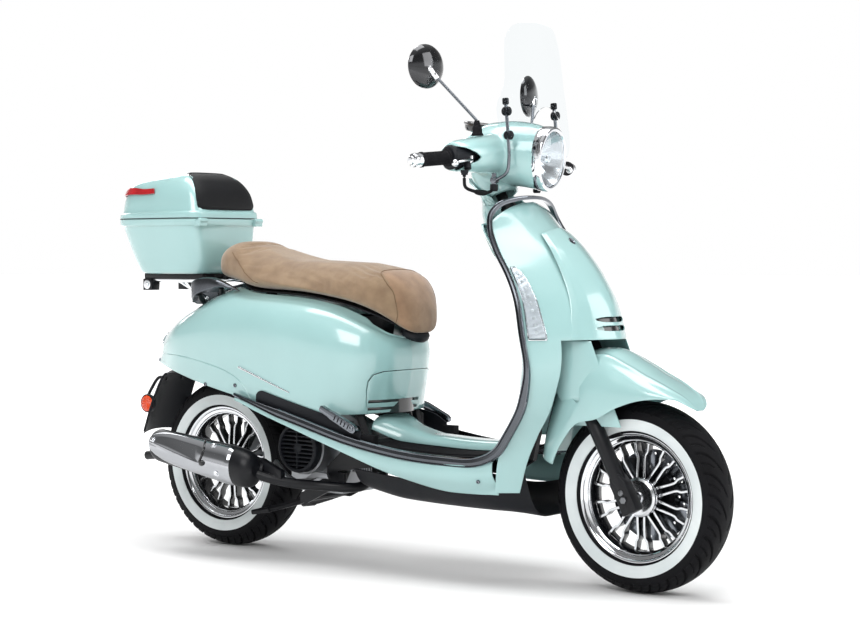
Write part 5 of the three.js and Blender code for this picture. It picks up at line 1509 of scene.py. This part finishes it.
def screen(u, v):
    """The windscreen pane."""
    side = 2 * u - 1
    top = SCREEN_TOP - 14 * side ** 2 - 30 * side ** 10
    z = mix(top, SCREEN_FOOT + screen_low(abs(side)), v)
    y = side * screen_half(z)
    return screen_x(z) - 0.0019 * y ** 2, y, z


arch = []
for x in (1000, 1200):
    outline = [(x, 64, 900)] + [(x, 64 * math.cos(math.pi * i / 40), 1098 + 66 * math.sin(math.pi * i / 40))
                                for i in range(41)] + [(x, -64, 900)]
    arch.append(outline)
piece("screen_pane", "steering", [shell(screen, 72, 60, 3)], [CLEAR], ["windscreen"],
      cuts=[loft(arch)], bevel=0.8)
for word, sign in SIDES:
    stay = [tube([(951, sign * 92, 985), (966, sign * 97, 988), (996, sign * 103, 1004),
                  (1003, sign * 105, 1036),
                  (1001, sign * 106, 1092), (993, sign * 105, 1172)], 4.2, 16, 90),
            rod((951, sign * 84, 985), (951, sign * 100, 985), 8.5, 8.5, 32),
            tube([(951, sign * 94, 1002), (951, sign * 94, 984), (950, sign * 93, 970)], 6.2, 12, 14)]
    piece(f"screen_stay_{word}", "steering", stay, [DARK_CHROME], [f"screen_rod_{word}"],
          bevel=0.6)
    knobs = [lathe([(5, -8), (7.5, -7), (8, -5), (8, 6), (7, 8), (0.01, 8)], (993, sign * 105, 1174),
                   (-0.08, 0, 1), 32)]
    for x, z in ((1002, 1092), (996, 1150)):
        knobs += [lathe([(0.01, -9), (7, -9), (10, -7.5), (11, -5), (11, -2), (9, 0), (9, 2), (11, 4),
                         (11, 8), (9, 10), (0.01, 10.5)], (x, sign * 106, z), (1, 0.1 * sign, 0), 36),
                  rod((x, sign * 106, z - 8), (x, sign * 106, z + 8), 7.5, 7.5, 24)]
    piece(f"screen_knobs_{word}", "steering", knobs, [BLACK], bevel=0.5)
    foot = lathe([(10, -5), (10, 8), (8, 12), (0.01, 12)], (950, sign * 93, 970), (0, 0, -1), 24)
    piece(f"screen_foot_{word}", "steering", [foot], [BLACK])


# ---------------------------------------------------------------- mirrors
for word, sign, end in (("right", -1, (844, -190, 1238.5)), ("left", 1, (848, 228, 1192.5))):
    turn = math.radians(14)
    top = np.array(end)
    centre = top + (-26, sign * 8, 23)
    ahead = np.array((math.cos(turn), sign * math.sin(turn), 0))
    dome = [(0.01, 24), (12, 23.4), (24, 21.6), (36, 18.4), (46, 13.6), (52, 9), (54, 5.4), (54, 3),
            (52.6, 0.6), (50.6, 0), (49.6, 1.2), (49.4, 3), (0.01, 3)]
    head = lathe(dome, centre, ahead, 96)
    face = lathe([(0.01, 2.2), (49.2, 2.2), (49.2, 3.4), (0.01, 3.4)], centre, ahead, 96)
    body = f"mirror_{word[0]}"
    piece(f"mirror_{word}_head", body, [(head, 0), (face, 1)], [MIRROR_BACK, MIRROR], [f"mirror_{word}"],
          crisp=28)
    foot = np.array((917, sign * 119, 1130.5))
    ribs = spline([foot, mix(foot, top, 0.12), mix(foot, top, 0.8), top], 320)
    piece(f"mirror_{word}_stem", body,
          [tube(ribs, lambda q: 3.6 + 0.4 * math.sin(q * 2 * math.pi * 62), 14, 620)], [DARK_CHROME],
          crisp=60)
    elbow = [top + (-2, sign * 2, 3), top + (-4, sign * 8, 10), top + (-8, sign * 14, 18)]
    piece(f"mirror_{word}_bracket", body,
          [rod(top + (4, -sign * 4, -7), top + (-3, sign * 3, 5), 6.6, 8.2, 32), tube(elbow, 7.2, 18, 20),
           lathe([(0.01, 8.6), (6, 6.2), (8.6, 0), (6, -6.2), (0.01, -8.6)], top + (-6, sign * 13, 16),
                 (0, 0, 1), 24)],
          [CHROME], bevel=0.6)
    boot = [(15, 0), (15, 3), (12.6, 6), (12, 18), (10.4, 24), (8.4, 25.5), (8.8, 27), (6.8, 34), (6, 37),
            (0.01, 37)]
    piece(f"mirror_{word}_boot", body, [lathe([(0.01, 0)] + boot, (918, sign * 118, 1093.5),
                                              (-0.02, 0.02 * sign, 1), 40)], [RUBBER], crisp=40)


# ---------------------------------------------------------------- fork and wheels
for word, sign in SIDES:
    y = sign * TRACK
    down = -SLOPE
    leg_base = fork_line(0, y)
    profile = [(0.01, -30), (15, -30), (17, -27), (17, 40), (18.6, 46), (18.6, 210), (18, 214), (19.4, 217),
               (19.4, 300), (17.6, 304), (17.6, 330), (14, 330), (14, 60), (0.01, 60)]
    leg = lathe([(r, d) for r, d in profile], leg_base, SLOPE, 56)
    shoe = [(-20, -34), (19, -34), (22, -28), (22, 34), (14, 62), (-14, 62), (-20, 44)]
    foot_points = []
    for reach in (-18, 18):
        for a, b in shoe:
            p = leg_base + SLOPE * b + np.array([math.cos(RAKE), 0, math.sin(RAKE)]) * a
            foot_points.append((p[0], y + reach * 0.9, p[2]))
    foot = (foot_points, prism_faces(len(shoe)))
    shapes = [(leg, 0), (foot, 0)]
    obj = piece(f"fork_leg_{word}", "fork", shapes, [SATIN_BLACK], [f"fork_slider_{word}"],
                bevel=2.2, segments=3)
    bolts = [screw(fork_line(18, y + sign * 16), (0, sign, 0), 7),
             lathe([(0.01, 6), (7, 6), (9, 5), (9.6, 0)], (WHEELBASE, y + sign * 16, FRONT_R),
                   (0, sign, 0), 6)]
    piece(f"fork_bolts_{word}", "fork", bolts, [STEEL], crisp=20)
piece("front_axle_rod", "fork", [rod((WHEELBASE, -70, FRONT_R), (WHEELBASE, 70, FRONT_R), 8)], [STEEL])


def tyre(x, radius, width, grooves, name, body, node):
    """A tyre with a whitewall band and slanted tread grooves."""
    half, bead = width / 2, 156.0
    side = [(bead - 3, 0.72), (bead, 0.78), (bead + 3, 0.83), (159.6, 0.87), (160.6, 0.895), (166, 0.93),
            (174, 0.965), (182, 0.985), (187.4, 0.992), (188.6, 1.0), (191, 1.0), (196, 0.985), (201, 0.96),
            (204.4, 0.935),
            (205.2, 0.945), (207, 0.935), (207.8, 0.915), (radius - 17, 0.86), (radius - 13, 0.8),
            (radius - 9, 0.7),
            (radius - 6.2, 0.6), (radius - 4, 0.5), (radius - 2.2, 0.38), (radius - 0.9, 0.24),
            (radius - 0.2, 0.11)]
    fine = []
    for (r0, f0), (r1, f1) in zip(side, side[1:]):
        parts = 3 if r0 > 204 else 1
        fine += [(mix(r0, r1, k / parts), mix(f0, f1, k / parts)) for k in range(parts)]
    side = fine + [side[-1]]
    profile = [(r, -half * f) for r, f in side] + [(radius, 0)] + [(r, half * f) for r, f in reversed(side)]
    around = 900
    spacing = 1.0 / grooves
    angles = [2 * math.pi * k / around for k in range(around)]
    points, lots = [], {0: [], 1: []}
    cols = len(profile)
    for k in range(around):
        turn = k / around
        c, s = math.cos(angles[k]), math.sin(angles[k])
        for r, y in profile:
            far = abs(y) / half
            cut = 0.0
            if r > 204 and 0.12 < far < 0.97:
                way = turn * grooves + (0.5 if y > 0 else 0.0) + 1.5 * (1 - far) ** 1.6
                near = abs(way % 1.0 - 0.5) * spacing * 2 * math.pi * radius
                cut = (5.4 * max(0.0, 1 - (near / 4.4) ** 4) *
                       min(1.0, (0.97 - far) * 14) * min(1.0, (far - 0.12) * 10))
                if far > 0.55:
                    near = abs((way + 0.5) % 1.0 - 0.5) * spacing * 2 * math.pi * radius
                    cut = max(cut, 3.0 * max(0.0, 1 - (near / 2.4) ** 4) * min(1.0, (0.97 - far) * 14))
            points.append((x + (r - cut) * c, y, radius + (r - cut) * s))
    for k in range(around):
        for j in range(cols):
            a, b = k * cols + j, k * cols + (j + 1) % cols
            c, d = ((k + 1) % around) * cols + (j + 1) % cols, ((k + 1) % around) * cols + j
            mean = (profile[j][0] + profile[(j + 1) % cols][0]) / 2
            white = 160 < mean < 188 and j != cols - 1
            lots[1 if white else 0].append((a, b, c, d))
    piece(name, body, [((points, lots[0]), 0), ((points, lots[1]), 1)], [TYRE, WHITEWALL], [node],
          crisp=26)


tyre(WHEELBASE, FRONT_R, 110, 26, "front_tyre_tread", "front_wheel", "front_tyre")
tyre(0, REAR_R, 120, 28, "rear_tyre_tread", "rear_wheel", "rear_tyre")


def spoke_frame(x, radius, turn, depth, shift):
    """One bottle-shaped pair of spokes that close round a window at the rim."""
    path = [(40, -9.5), (70, -9.0), (92, -9.0), (100, -10.5), (106, -14.5), (113, -16), (122, -17),
            (129, -18.5),
            (131, -15), (131, 0), (131, 15), (129, 18.5), (122, 17), (113, 16), (106, 14.5), (100, 10.5),
            (92, 9.0), (70, 9.0), (40, 9.5)]
    line = spline([(r, w, 0) for r, w in path], 96)
    rings = []
    for i, p in enumerate(line):
        along = heading(line, i)
        side = np.array([-along[1], along[0], 0])
        far = abs(math.hypot(p[0], p[1]))
        deep = depth * mix(1.0, 0.72, min(1, max(0, (far - 60) / 60)))
        row = []
        for a, b in ((-2.8, -1), (2.8, -1), (2.8, 1), (-2.8, 1)):
            q = p + side * a
            c, s = math.cos(turn), math.sin(turn)
            row.append((x + q[0] * c - q[1] * s, shift + b * deep, radius + q[0] * s + q[1] * c))
        rings.append(row)
    face, flank = split(loft(rings), 4, (0, 2))
    return [(face, 1), (flank, 0)]


def wheel(x, radius, edge, name, body, node, hub_reach):
    """A cast rim with ten pairs of spokes, its hub cap and valve."""
    lip = [(150, edge - 0.5), (152.5, edge + 0.8), (156, edge), (157.5, edge - 3), (156, edge - 6),
           (153, edge - 9),
           (146, edge - 16), (134, edge - 21), (134, -edge + 21), (146, -edge + 16), (153, -edge + 9),
           (156, -edge + 6), (157.5, -edge + 3), (156, -edge), (152.5, -edge - 0.8), (150, -edge + 0.5),
           (148, -edge + 2), (146.4, -edge + 5), (143, -edge + 7), (139, -edge + 8), (137.6, -edge + 11),
           (135.4, -edge + 12.4), (134.2, -edge + 15)]
    bore = [(131, -edge + 20), (129.5, -edge + 26), (129.5, edge - 26), (131, edge - 20)]
    other = [(134.2, edge - 15), (135.4, edge - 12.4), (137.6, edge - 11), (139, edge - 8), (143, edge - 7),
             (146.4, edge - 5), (148, edge - 2), (150, edge - 0.5)]
    profile = lip + bore + other
    whole = lathe(profile, (x, 0, radius), (0, 1, 0), 192)
    points, faces = whole
    count = 192
    dark, bright = [], []
    for k, face in enumerate(faces):
        row = k // count
        r = (profile[row][0] + profile[(row + 1) % len(profile)][0]) / 2
        (dark if r < 133 else bright).append(face)
    shapes = [((points, dark), 0), ((points, bright), 2)]
    for k in range(10):
        shapes += spoke_frame(x, radius, 2 * math.pi * (k + 0.5) / 10, 15, 0)
    shapes.append((lathe([(12, -hub_reach), (34, -hub_reach), (42, -hub_reach + 5), (44, -hub_reach + 12),
                          (44, 26),
                          (36, 30), (12, 30), (12, -hub_reach)], (x, 0, radius), (0, 1, 0), 96), 0))
    piece(name, body, shapes, [GLOSS_BLACK, MACHINED, CHROME], [node], crisp=30, bevel=0.5)
    cover = [(0.01, -hub_reach - 7), (13, -hub_reach - 7), (14, -hub_reach - 6), (15, -hub_reach - 1.5),
             (20, -hub_reach - 1), (34, -hub_reach - 3.2), (41, -hub_reach - 2.6), (46, -hub_reach + 1),
             (48, -hub_reach + 6), (48, -hub_reach + 10), (45, -hub_reach + 10), (0.01, -hub_reach + 4)]
    piece(name + "_cap", body, [lathe(cover, (x, 0, radius), (0, 1, 0), 96)], [MACHINED], crisp=30)
    valve = [rod((x + 128 * math.cos(-0.9), -6, radius + 128 * math.sin(-0.9)),
                 (x + 100 * math.cos(-0.9), -10, radius + 100 * math.sin(-0.9)), 3.2, 2.6, 16)]
    piece(name + "_valve", body, valve, [STEEL])


wheel(WHEELBASE, FRONT_R, 40, "front_wheel_rim", "front_wheel", "front_rim", 28)
wheel(0, REAR_R, 44, "rear_wheel_rim", "rear_wheel", "rear_rim", 28)


def brake_rotor():
    holes = []
    for k in range(20):
        for j, r in enumerate((72, 86, 100)):
            if (k + j) % 2 == 0:
                a = 2 * math.pi * (k + 0.4 * j) / 20
                holes.append(rod((WHEELBASE + r * math.cos(a), 36, FRONT_R + r * math.sin(a)),
                                 (WHEELBASE + r * math.cos(a), 50, FRONT_R + r * math.sin(a)), 3.4, 3.4,
                                 12))
    disc = lathe([(56, 41), (110, 41), (110, 45), (56, 45), (56, 41)], (WHEELBASE, 0, FRONT_R), (0, 1, 0),
                 128)
    carrier = lathe([(14, 31), (52, 31), (60, 40), (60, 44.6), (50, 44.6), (44, 36), (14, 36), (14, 31)],
                    (WHEELBASE, 0, FRONT_R), (0, 1, 0), 96)
    obj = carve(solid("rotor", [(disc, 0)], [DARK_CHROME, SATIN_BLACK]), holes)
    piece("front_rotor", "front_wheel", obj, [DARK_CHROME], ["front_brake_disc"], crisp=30)
    piece("front_rotor_carrier", "front_wheel", [carrier], [SATIN_BLACK])


brake_rotor()
caliper = [block(1236, 1272, 35, 39.4, 258, 314), block(1236, 1272, 46.6, 62, 258, 314),
           block(1236, 1246, 35, 62, 258, 314), block(1250, 1306, 50, 62, 258, 288),
           lathe([(0.01, 7), (10, 7), (12, 5), (12, 0)], (1256, 61, 296), (0, 1, 0), 32),
           lathe([(0.01, 7), (10, 7), (12, 5), (12, 0)], (1256, 61, 272), (0, 1, 0), 32)]
piece("caliper", "fork", caliper, [SATIN_BLACK], ["front_caliper"], bevel=2.0)


def fork_shroud(sign):
    """Painted cheek of the fender, over the upper fork leg."""
    def surface(u, v):
        across = 2 * v - 1
        base = fork_line(mix(190, 418, u), sign * TRACK)
        reach = mix(-56, mix(72, 96, u), v)
        bulge = 28 * (1 - 0.85 * v ** 2.6 - 0.25 * max(0, -across) ** 3) * min(1, 0.2 + 2.4 * u)
        return base[0] + reach, sign * (TRACK + bulge), base[2]
    return shell(surface, 50, 40, -2.4 * sign)


for word, sign in SIDES:
    piece(f"fender_cheek_{word}", "steering", [fork_shroud(sign)], [PAINT], bevel=0.8)


# ---------------------------------------------------------------- engine, silencer and suspension
CRANK_X, CRANK_Z = 346, 298
reskin(SATIN_BLACK, "frame", "centre_stand")
reskin(BLACK, "fuel_tank", "storage_bucket")
reskin(STEEL, "kick_lever")

block_out = plate([(262, 196), (300, 176), (440, 176), (470, 244), (548, 246), (548, 316), (470, 330),
                   (300, 356), (262, 330)], -62, 66)
cvt = plate([(-40, 190), (0, 172), (60, 178), (346, 212), (404, 236), (430, 298), (404, 350), (346, 374),
             (200, 356), (40, 302), (-30, 286), (-58, 231)], 72, 128)
cvt_raised = plate([(-30, 200), (4, 186), (60, 192), (340, 226), (392, 246), (414, 298), (392, 340),
                    (340, 360), (200, 342), (44, 290), (-22, 274), (-44, 231)], 120, 132)
engine = [(block_out, 0), (rod((CRANK_X, -112, CRANK_Z), (CRANK_X, -60, CRANK_Z), 72, 72, 64), 0),
          (cvt, 0), (cvt_raised, 0),
          (rod((0, -50, REAR_R), (0, 80, REAR_R), 11, 11, 32), 1), (block(-36, -4, 74, 90.5, 270, 334), 0),
          (block(340, 404, 60, 80, 200, 320), 0)]
for k in range(9):
    engine.append((block(478 + 8 * k, 481.5 + 8 * k, -70, 72, 238, 324), 0))
for k in range(8):
    x, z = 20 + 46 * k, 186 + 6 * k
    engine.append((lathe([(0.01, 5), (5, 5), (6, 4), (6, 0)], (x, 131, z + 4), (0, 1, 0), 6), 1))
piece("engine_block", "engine_unit", engine, [ALLOY, STEEL], ["engine_case"], bevel=2.0)
belt_ribs = [tube([(40 + 70 * k, 132, 214 + 8 * k), (60 + 66 * k, 132, 300 + 8 * k)], 4, 8, 20)
             for k in range(5)]
piece("drive_cover_ribs", "engine_unit", belt_ribs, [ALLOY])

fan = [(lathe([(56, -138), (60, -138.4), (65, -136), (66, -132), (66, -112.4), (56, -112.4), (56, -138)],
              (CRANK_X, 0, CRANK_Z), (0, 1, 0), 96), 0),
       (lathe([(0.01, -116), (57, -116), (57, -113), (0.01, -113)], (CRANK_X, 0, CRANK_Z), (0, 1, 0), 64),
        1)]
for k in range(9):
    z = CRANK_Z - 44 + 11 * k
    reach = math.sqrt(max(1.0, 57 ** 2 - (z - CRANK_Z) ** 2))
    fin = [(CRANK_X - reach, z - 2.4), (CRANK_X + reach, z - 2.4), (CRANK_X + reach, z + 1.6),
           (CRANK_X - reach, z + 1.6)]
    slat = plate(fin, -136, -118)
    fan.append((moved(slat, Matrix.Rotation(math.radians(14), 4, "X"), (CRANK_X, -127, z)), 0))
fan.append((lathe([(0.01, -137.6), (10, -137), (14, -134), (14, -120)], (CRANK_X, 0, CRANK_Z), (0, 1, 0),
                  32), 0))
fan += [(block(344, 348, -137, -118, 244, 352), 0)]
piece("fan_shroud", "engine_unit", fan, [BLACK, GLOSS_BLACK], ["fan_cover"], bevel=0.7)
hanger = [plate([(262, 262), (300, 226), (330, 214), (366, 218), (402, 238), (440, 236), (446, 222),
                 (404, 222), (368, 204), (324, 198), (288, 212), (252, 250)], -128, -118)]
piece("engine_bracket", "engine_unit", hanger, [ALLOY], bevel=1.2)

CAN_Y = -205


def can_z(x):
    """Height of the silencer's centre line."""
    return mix(246, 288, (204 - x) / 300)


exhaust = [tube([(512, -30, 245), (514, -36, 220), (504, -64, 201), (484, -100, 200), (440, -132, 204),
                 (370, -154, 206), (300, -178, 216), (240, CAN_Y + 4, 234), (196, CAN_Y, 246)], 13, 20,
                120)]
can_keys = [(-100, 26, 28), (-98, 31, 33), (-92, 38, 41), (-80, 41, 44.6), (-40, 42, 46), (130, 43, 51),
            (200, 43, 52), (236, 41, 49), (250, 36, 44), (260, 28, 34), (266, 20, 20)]
can_rings = []
for k in range(61):
    x = mix(-100, 266, k / 60)
    a, b = (through([(row[0], row[j]) for row in can_keys])(x) for j in (1, 2))
    can_rings.append(ring((x, CAN_Y, can_z(x)), a, b, "x", 64))
exhaust += [loft(can_rings), rod((-84, CAN_Y - 4, 262), (-132, CAN_Y - 6, 256), 12, 12, 32),
            tube([(262, -176, 240), (238, -192, 244), (200, -198, 250)], 17, 24, 30),
            plate([(232, 262), (262, 232), (306, 218), (330, 220), (330, 240), (300, 252), (262, 268)],
                  -182, -166)]
piece("silencer", "engine_unit", exhaust, [SATIN_BLACK], ["exhaust"], bevel=1.5,
      cuts=[rod((-136, CAN_Y - 6.2, 255.5), (-100, CAN_Y - 4.7, 260), 9.6, 9.6, 32)])


def guard_point(u, v, out=0.0):
    """The chrome shield on the silencer: a leaf shape, round at the rear and square at the front."""
    x = mix(-97, 205, u)
    spread = (1 - (1 - min(1, u / 0.34)) ** 2) ** 0.5
    low = mix(0.18, mix(-0.62, -1.2, u), spread)
    high = mix(0.3, 1.22, spread)
    angle = mix(low, high, v)
    a = through([(-97, 40), (-80, 45), (-30, 47), (130, 48), (192, 48), (205, 45.5)])(x)
    b = through([(-97, 43), (-80, 48), (-30, 52), (130, 56), (192, 57), (205, 54.5)])(x)
    ridge = (5.0 * math.exp(-((v - mix(0.5, 0.3, u)) / 0.035) ** 2) * min(1, 6 * u * (0.8 - u))
             if u < 0.8 else 0)
    scoop = (-3.4 * max(0, 1 - ((v - mix(0.62, 0.56, u)) / 0.17) ** 2) * min(1, max(0, 5 * (u - 0.08)))
             if u < 0.68 else 0)
    scoop *= 1 - max(0, (u - 0.6) / 0.08) if u > 0.6 else 1
    edge = -2.6 * (abs(2 * v - 1) ** 12 + abs(2 * u - 1) ** 30)
    r = out + ridge * 0.6 + scoop + edge
    return x, CAN_Y - (a + r) * math.cos(angle), can_z(x) + (b + r) * math.sin(angle)


piece("silencer_shield", "engine_unit", [shell(guard_point, 150, 72, -1.6)], [SHIELD_CHROME],
      ["heat_shield"], crisp=50)
bolts = []
for u, v in ((0.07, 0.62), (0.78, 0.88), (0.86, 0.3)):
    p, q = guard_point(u, v, 0.5), guard_point(u, v, 2.0)
    bolts.append((lathe([(0.01, 5), (3, 5), (5.4, 3.6), (6, 1.6), (6, 0), (8.6, 0), (8.8, -1.4)], p,
                        np.subtract(q, p), 32), 0))
strap = [guard_point(mix(0.66, 0.7, math.sin(k / 14 * 3)), mix(0.95, 0.42, k / 14), 1.6) for k in range(15)]
bolts.append((tube(strap, 2.4, 8, 60), 1))
bolts.append((lathe([(0.01, 6), (6, 5.4), (8, 2), (8, -1)], guard_point(0.7, 0.42, 1.0), (0, -1, 0.1), 28),
              1))
piece("silencer_bolts", "engine_unit", bolts, [CHROME, GLOSS_BLACK])

DAMPER_FOOT, DAMPER_HEAD = np.array((-20, 105, 318.0)), np.array((20, 105, 604.0))
damper = [(lathe([(6, -14), (12, -14), (12, 14), (6, 14), (6, -14)], DAMPER_FOOT, (0, 1, 0), 40), 0),
          (lathe([(0.01, 10), (14, 12), (16, 30), (16, 66), (25, 68), (25, 74), (16, 76), (11.5, 78),
                  (11.5, 120), (0.01, 120)], DAMPER_FOOT, DAMPER_HEAD - DAMPER_FOOT, 40), 0)]
axis, side_a, side_b = basis(DAMPER_HEAD - DAMPER_FOOT)
coil, COIL_TURNS, COIL_STEPS = [], 8, 28
for k in range(COIL_TURNS * COIL_STEPS + 1):
    a = 2 * math.pi * k / COIL_STEPS
    coil.append(DAMPER_FOOT + axis * (78 + 118 * k / (COIL_TURNS * COIL_STEPS)) + 20.5 *
                (side_a * math.cos(a) + side_b * math.sin(a)))
damper.append((tube(coil, 4.0, 10, 420), 1))
piece("damper_body", "damper", damper, [SATIN_BLACK, CHROME], ["rear_damper_lower"])
top = [(lathe([(6, -4.5), (12, -4.5), (12, 14), (6, 14), (6, -4.5)], DAMPER_HEAD, (0, 1, 0), 40), 0),
       (lathe([(0.01, 284), (8, 284), (14, 276), (30, 270), (32, 266), (32, 168), (29.4, 168), (29.4, 262),
               (8, 266), (5, 268), (5, 133), (0.01, 133)], DAMPER_FOOT, DAMPER_HEAD - DAMPER_FOOT, 48), 0)]
piece("damper_cup", "damper_top", top, [SATIN_BLACK], ["rear_damper_upper"])

PEG_X, PEG_Z = 588, 364
for word, sign in SIDES:
    pivot = (PEG_X, 0, PEG_Z)
    bar = [(-118, -5), (-114, -8), (-86, -8.5), (-74, -10.5), (-2, -11), (8, -8), (12, 0), (8, 8),
           (-2, 11), (-74, 10.5), (-86, 8.5), (-114, 8), (-118, 5)]
    y0, y1 = sorted((sign * 190, sign * 204))
    peg = [(plate([(PEG_X + x, PEG_Z + z) for x, z in bar], y0, y1), 0)]
    peg += [(rod((PEG_X - 14 - 12 * k, sign * 203, PEG_Z - 7),
                 (PEG_X - 14 - 12 * k, sign * 203, PEG_Z + 7), 2.2, 2.2, 10), 1)
            for k in range(5)]
    peg.append((lathe([(0.01, 4), (4, 3.6), (6, 2), (6.6, 0)], (PEG_X - 2, sign * 204, PEG_Z),
                      (0, sign, 0), 24), 0))
    peg = [(rotated_y(shape, 25, pivot), number) for shape, number in peg]
    piece(f"passenger_peg_{word}", f"peg_{word}", peg, [DARK_CHROME, RUBBER], [f"footpeg_{word}"],
          bevel=1.6)


# ---------------------------------------------------------------- floor and light
def studio():
    """The pale floor, the soft surroundings and four area lamps."""
    def plain(name, rgb, rough):
        material = bpy.data.materials.new(name)
        material.use_nodes = True
        skin = material.node_tree.nodes["Principled BSDF"]
        skin.inputs["Base Color"].default_value = (*rgb, 1)
        skin.inputs["Roughness"].default_value = rough
        return material

    mesh = bpy.data.meshes.new("studio_floor")
    mesh.from_pydata([(x, y, 0) for x, y in ((-60, -60), (60, -60), (60, 60), (-60, 60))], [],
                     [(0, 1, 2, 3)])
    paper = plain("floor_paper", (0.86, 0.86, 0.86), 0.8)
    glow_nodes, glow_links = paper.node_tree.nodes, paper.node_tree.links
    spot = glow_nodes.new("ShaderNodeTexCoord")
    reach = glow_nodes.new("ShaderNodeVectorMath")
    reach.operation = "LENGTH"
    glow = glow_nodes.new("ShaderNodeMapRange")
    glow.inputs["From Min"].default_value = 1.4
    glow.inputs["From Max"].default_value = 4.5
    glow.inputs["To Max"].default_value = 0.8
    skin = glow_nodes["Principled BSDF"]
    skin.inputs["Emission Color"].default_value = (1, 1, 1, 1)
    glow_links.new(spot.outputs["Object"], reach.inputs[0])
    glow_links.new(reach.outputs["Value"], glow.inputs["Value"])
    glow_links.new(glow.outputs["Result"], skin.inputs["Emission Strength"])
    mesh.materials.append(paper)
    floor = bpy.data.objects.new("studio_floor", mesh)
    bpy.context.scene.collection.objects.link(floor)
    world = bpy.data.worlds.new("studio")
    bpy.context.scene.world = world
    world.use_nodes = True
    nodes, links = world.node_tree.nodes, world.node_tree.links
    place = nodes.new("ShaderNodeTexCoord")
    split = nodes.new("ShaderNodeSeparateXYZ")
    ramp = nodes.new("ShaderNodeValToRGB")
    links.new(place.outputs["Generated"], split.inputs["Vector"])
    links.new(split.outputs["Z"], ramp.inputs["Fac"])
    links.new(ramp.outputs["Color"], nodes["Background"].inputs["Color"])
    stops = [(0.0, 1.0), (0.15, 1.0), (0.26, 0.26), (0.55, 0.2), (0.8, 0.6), (1.0, 0.8)]
    ramp.color_ramp.elements[0].position, ramp.color_ramp.elements[1].position = stops[0][0], stops[-1][0]
    for position, _ in stops[1:-1]:
        ramp.color_ramp.elements.new(position)
    for element, (_, level) in zip(ramp.color_ramp.elements, stops):
        element.color = (level, level, level, 1)
    nodes["Background"].inputs["Strength"].default_value = 1.0

    def lamp(name, where, size, watts):
        data = bpy.data.lights.new(name, "AREA")
        data.shape = "RECTANGLE"
        data.size, data.size_y = size
        data.energy = watts
        light = bpy.data.objects.new(name, data)
        light.location = where
        light.rotation_euler = (Vector((0, 0, 0.6)) - Vector(where)).to_track_quat("-Z", "Y").to_euler()
        bpy.context.scene.collection.objects.link(light)

    lamp("key", (1.5, -4.5, 4.0), (3.5, 2.5), 170)
    lamp("fill", (5.0, 1.5, 3.0), (2.5, 3.0), 90)
    lamp("back", (-4.5, 2.5, 3.5), (3.0, 3.0), 110)
    lamp("top", (0.0, 0.0, 5.0), (5.0, 2.5), 190)
    bpy.context.scene.view_settings.view_transform = "Standard"


studio()
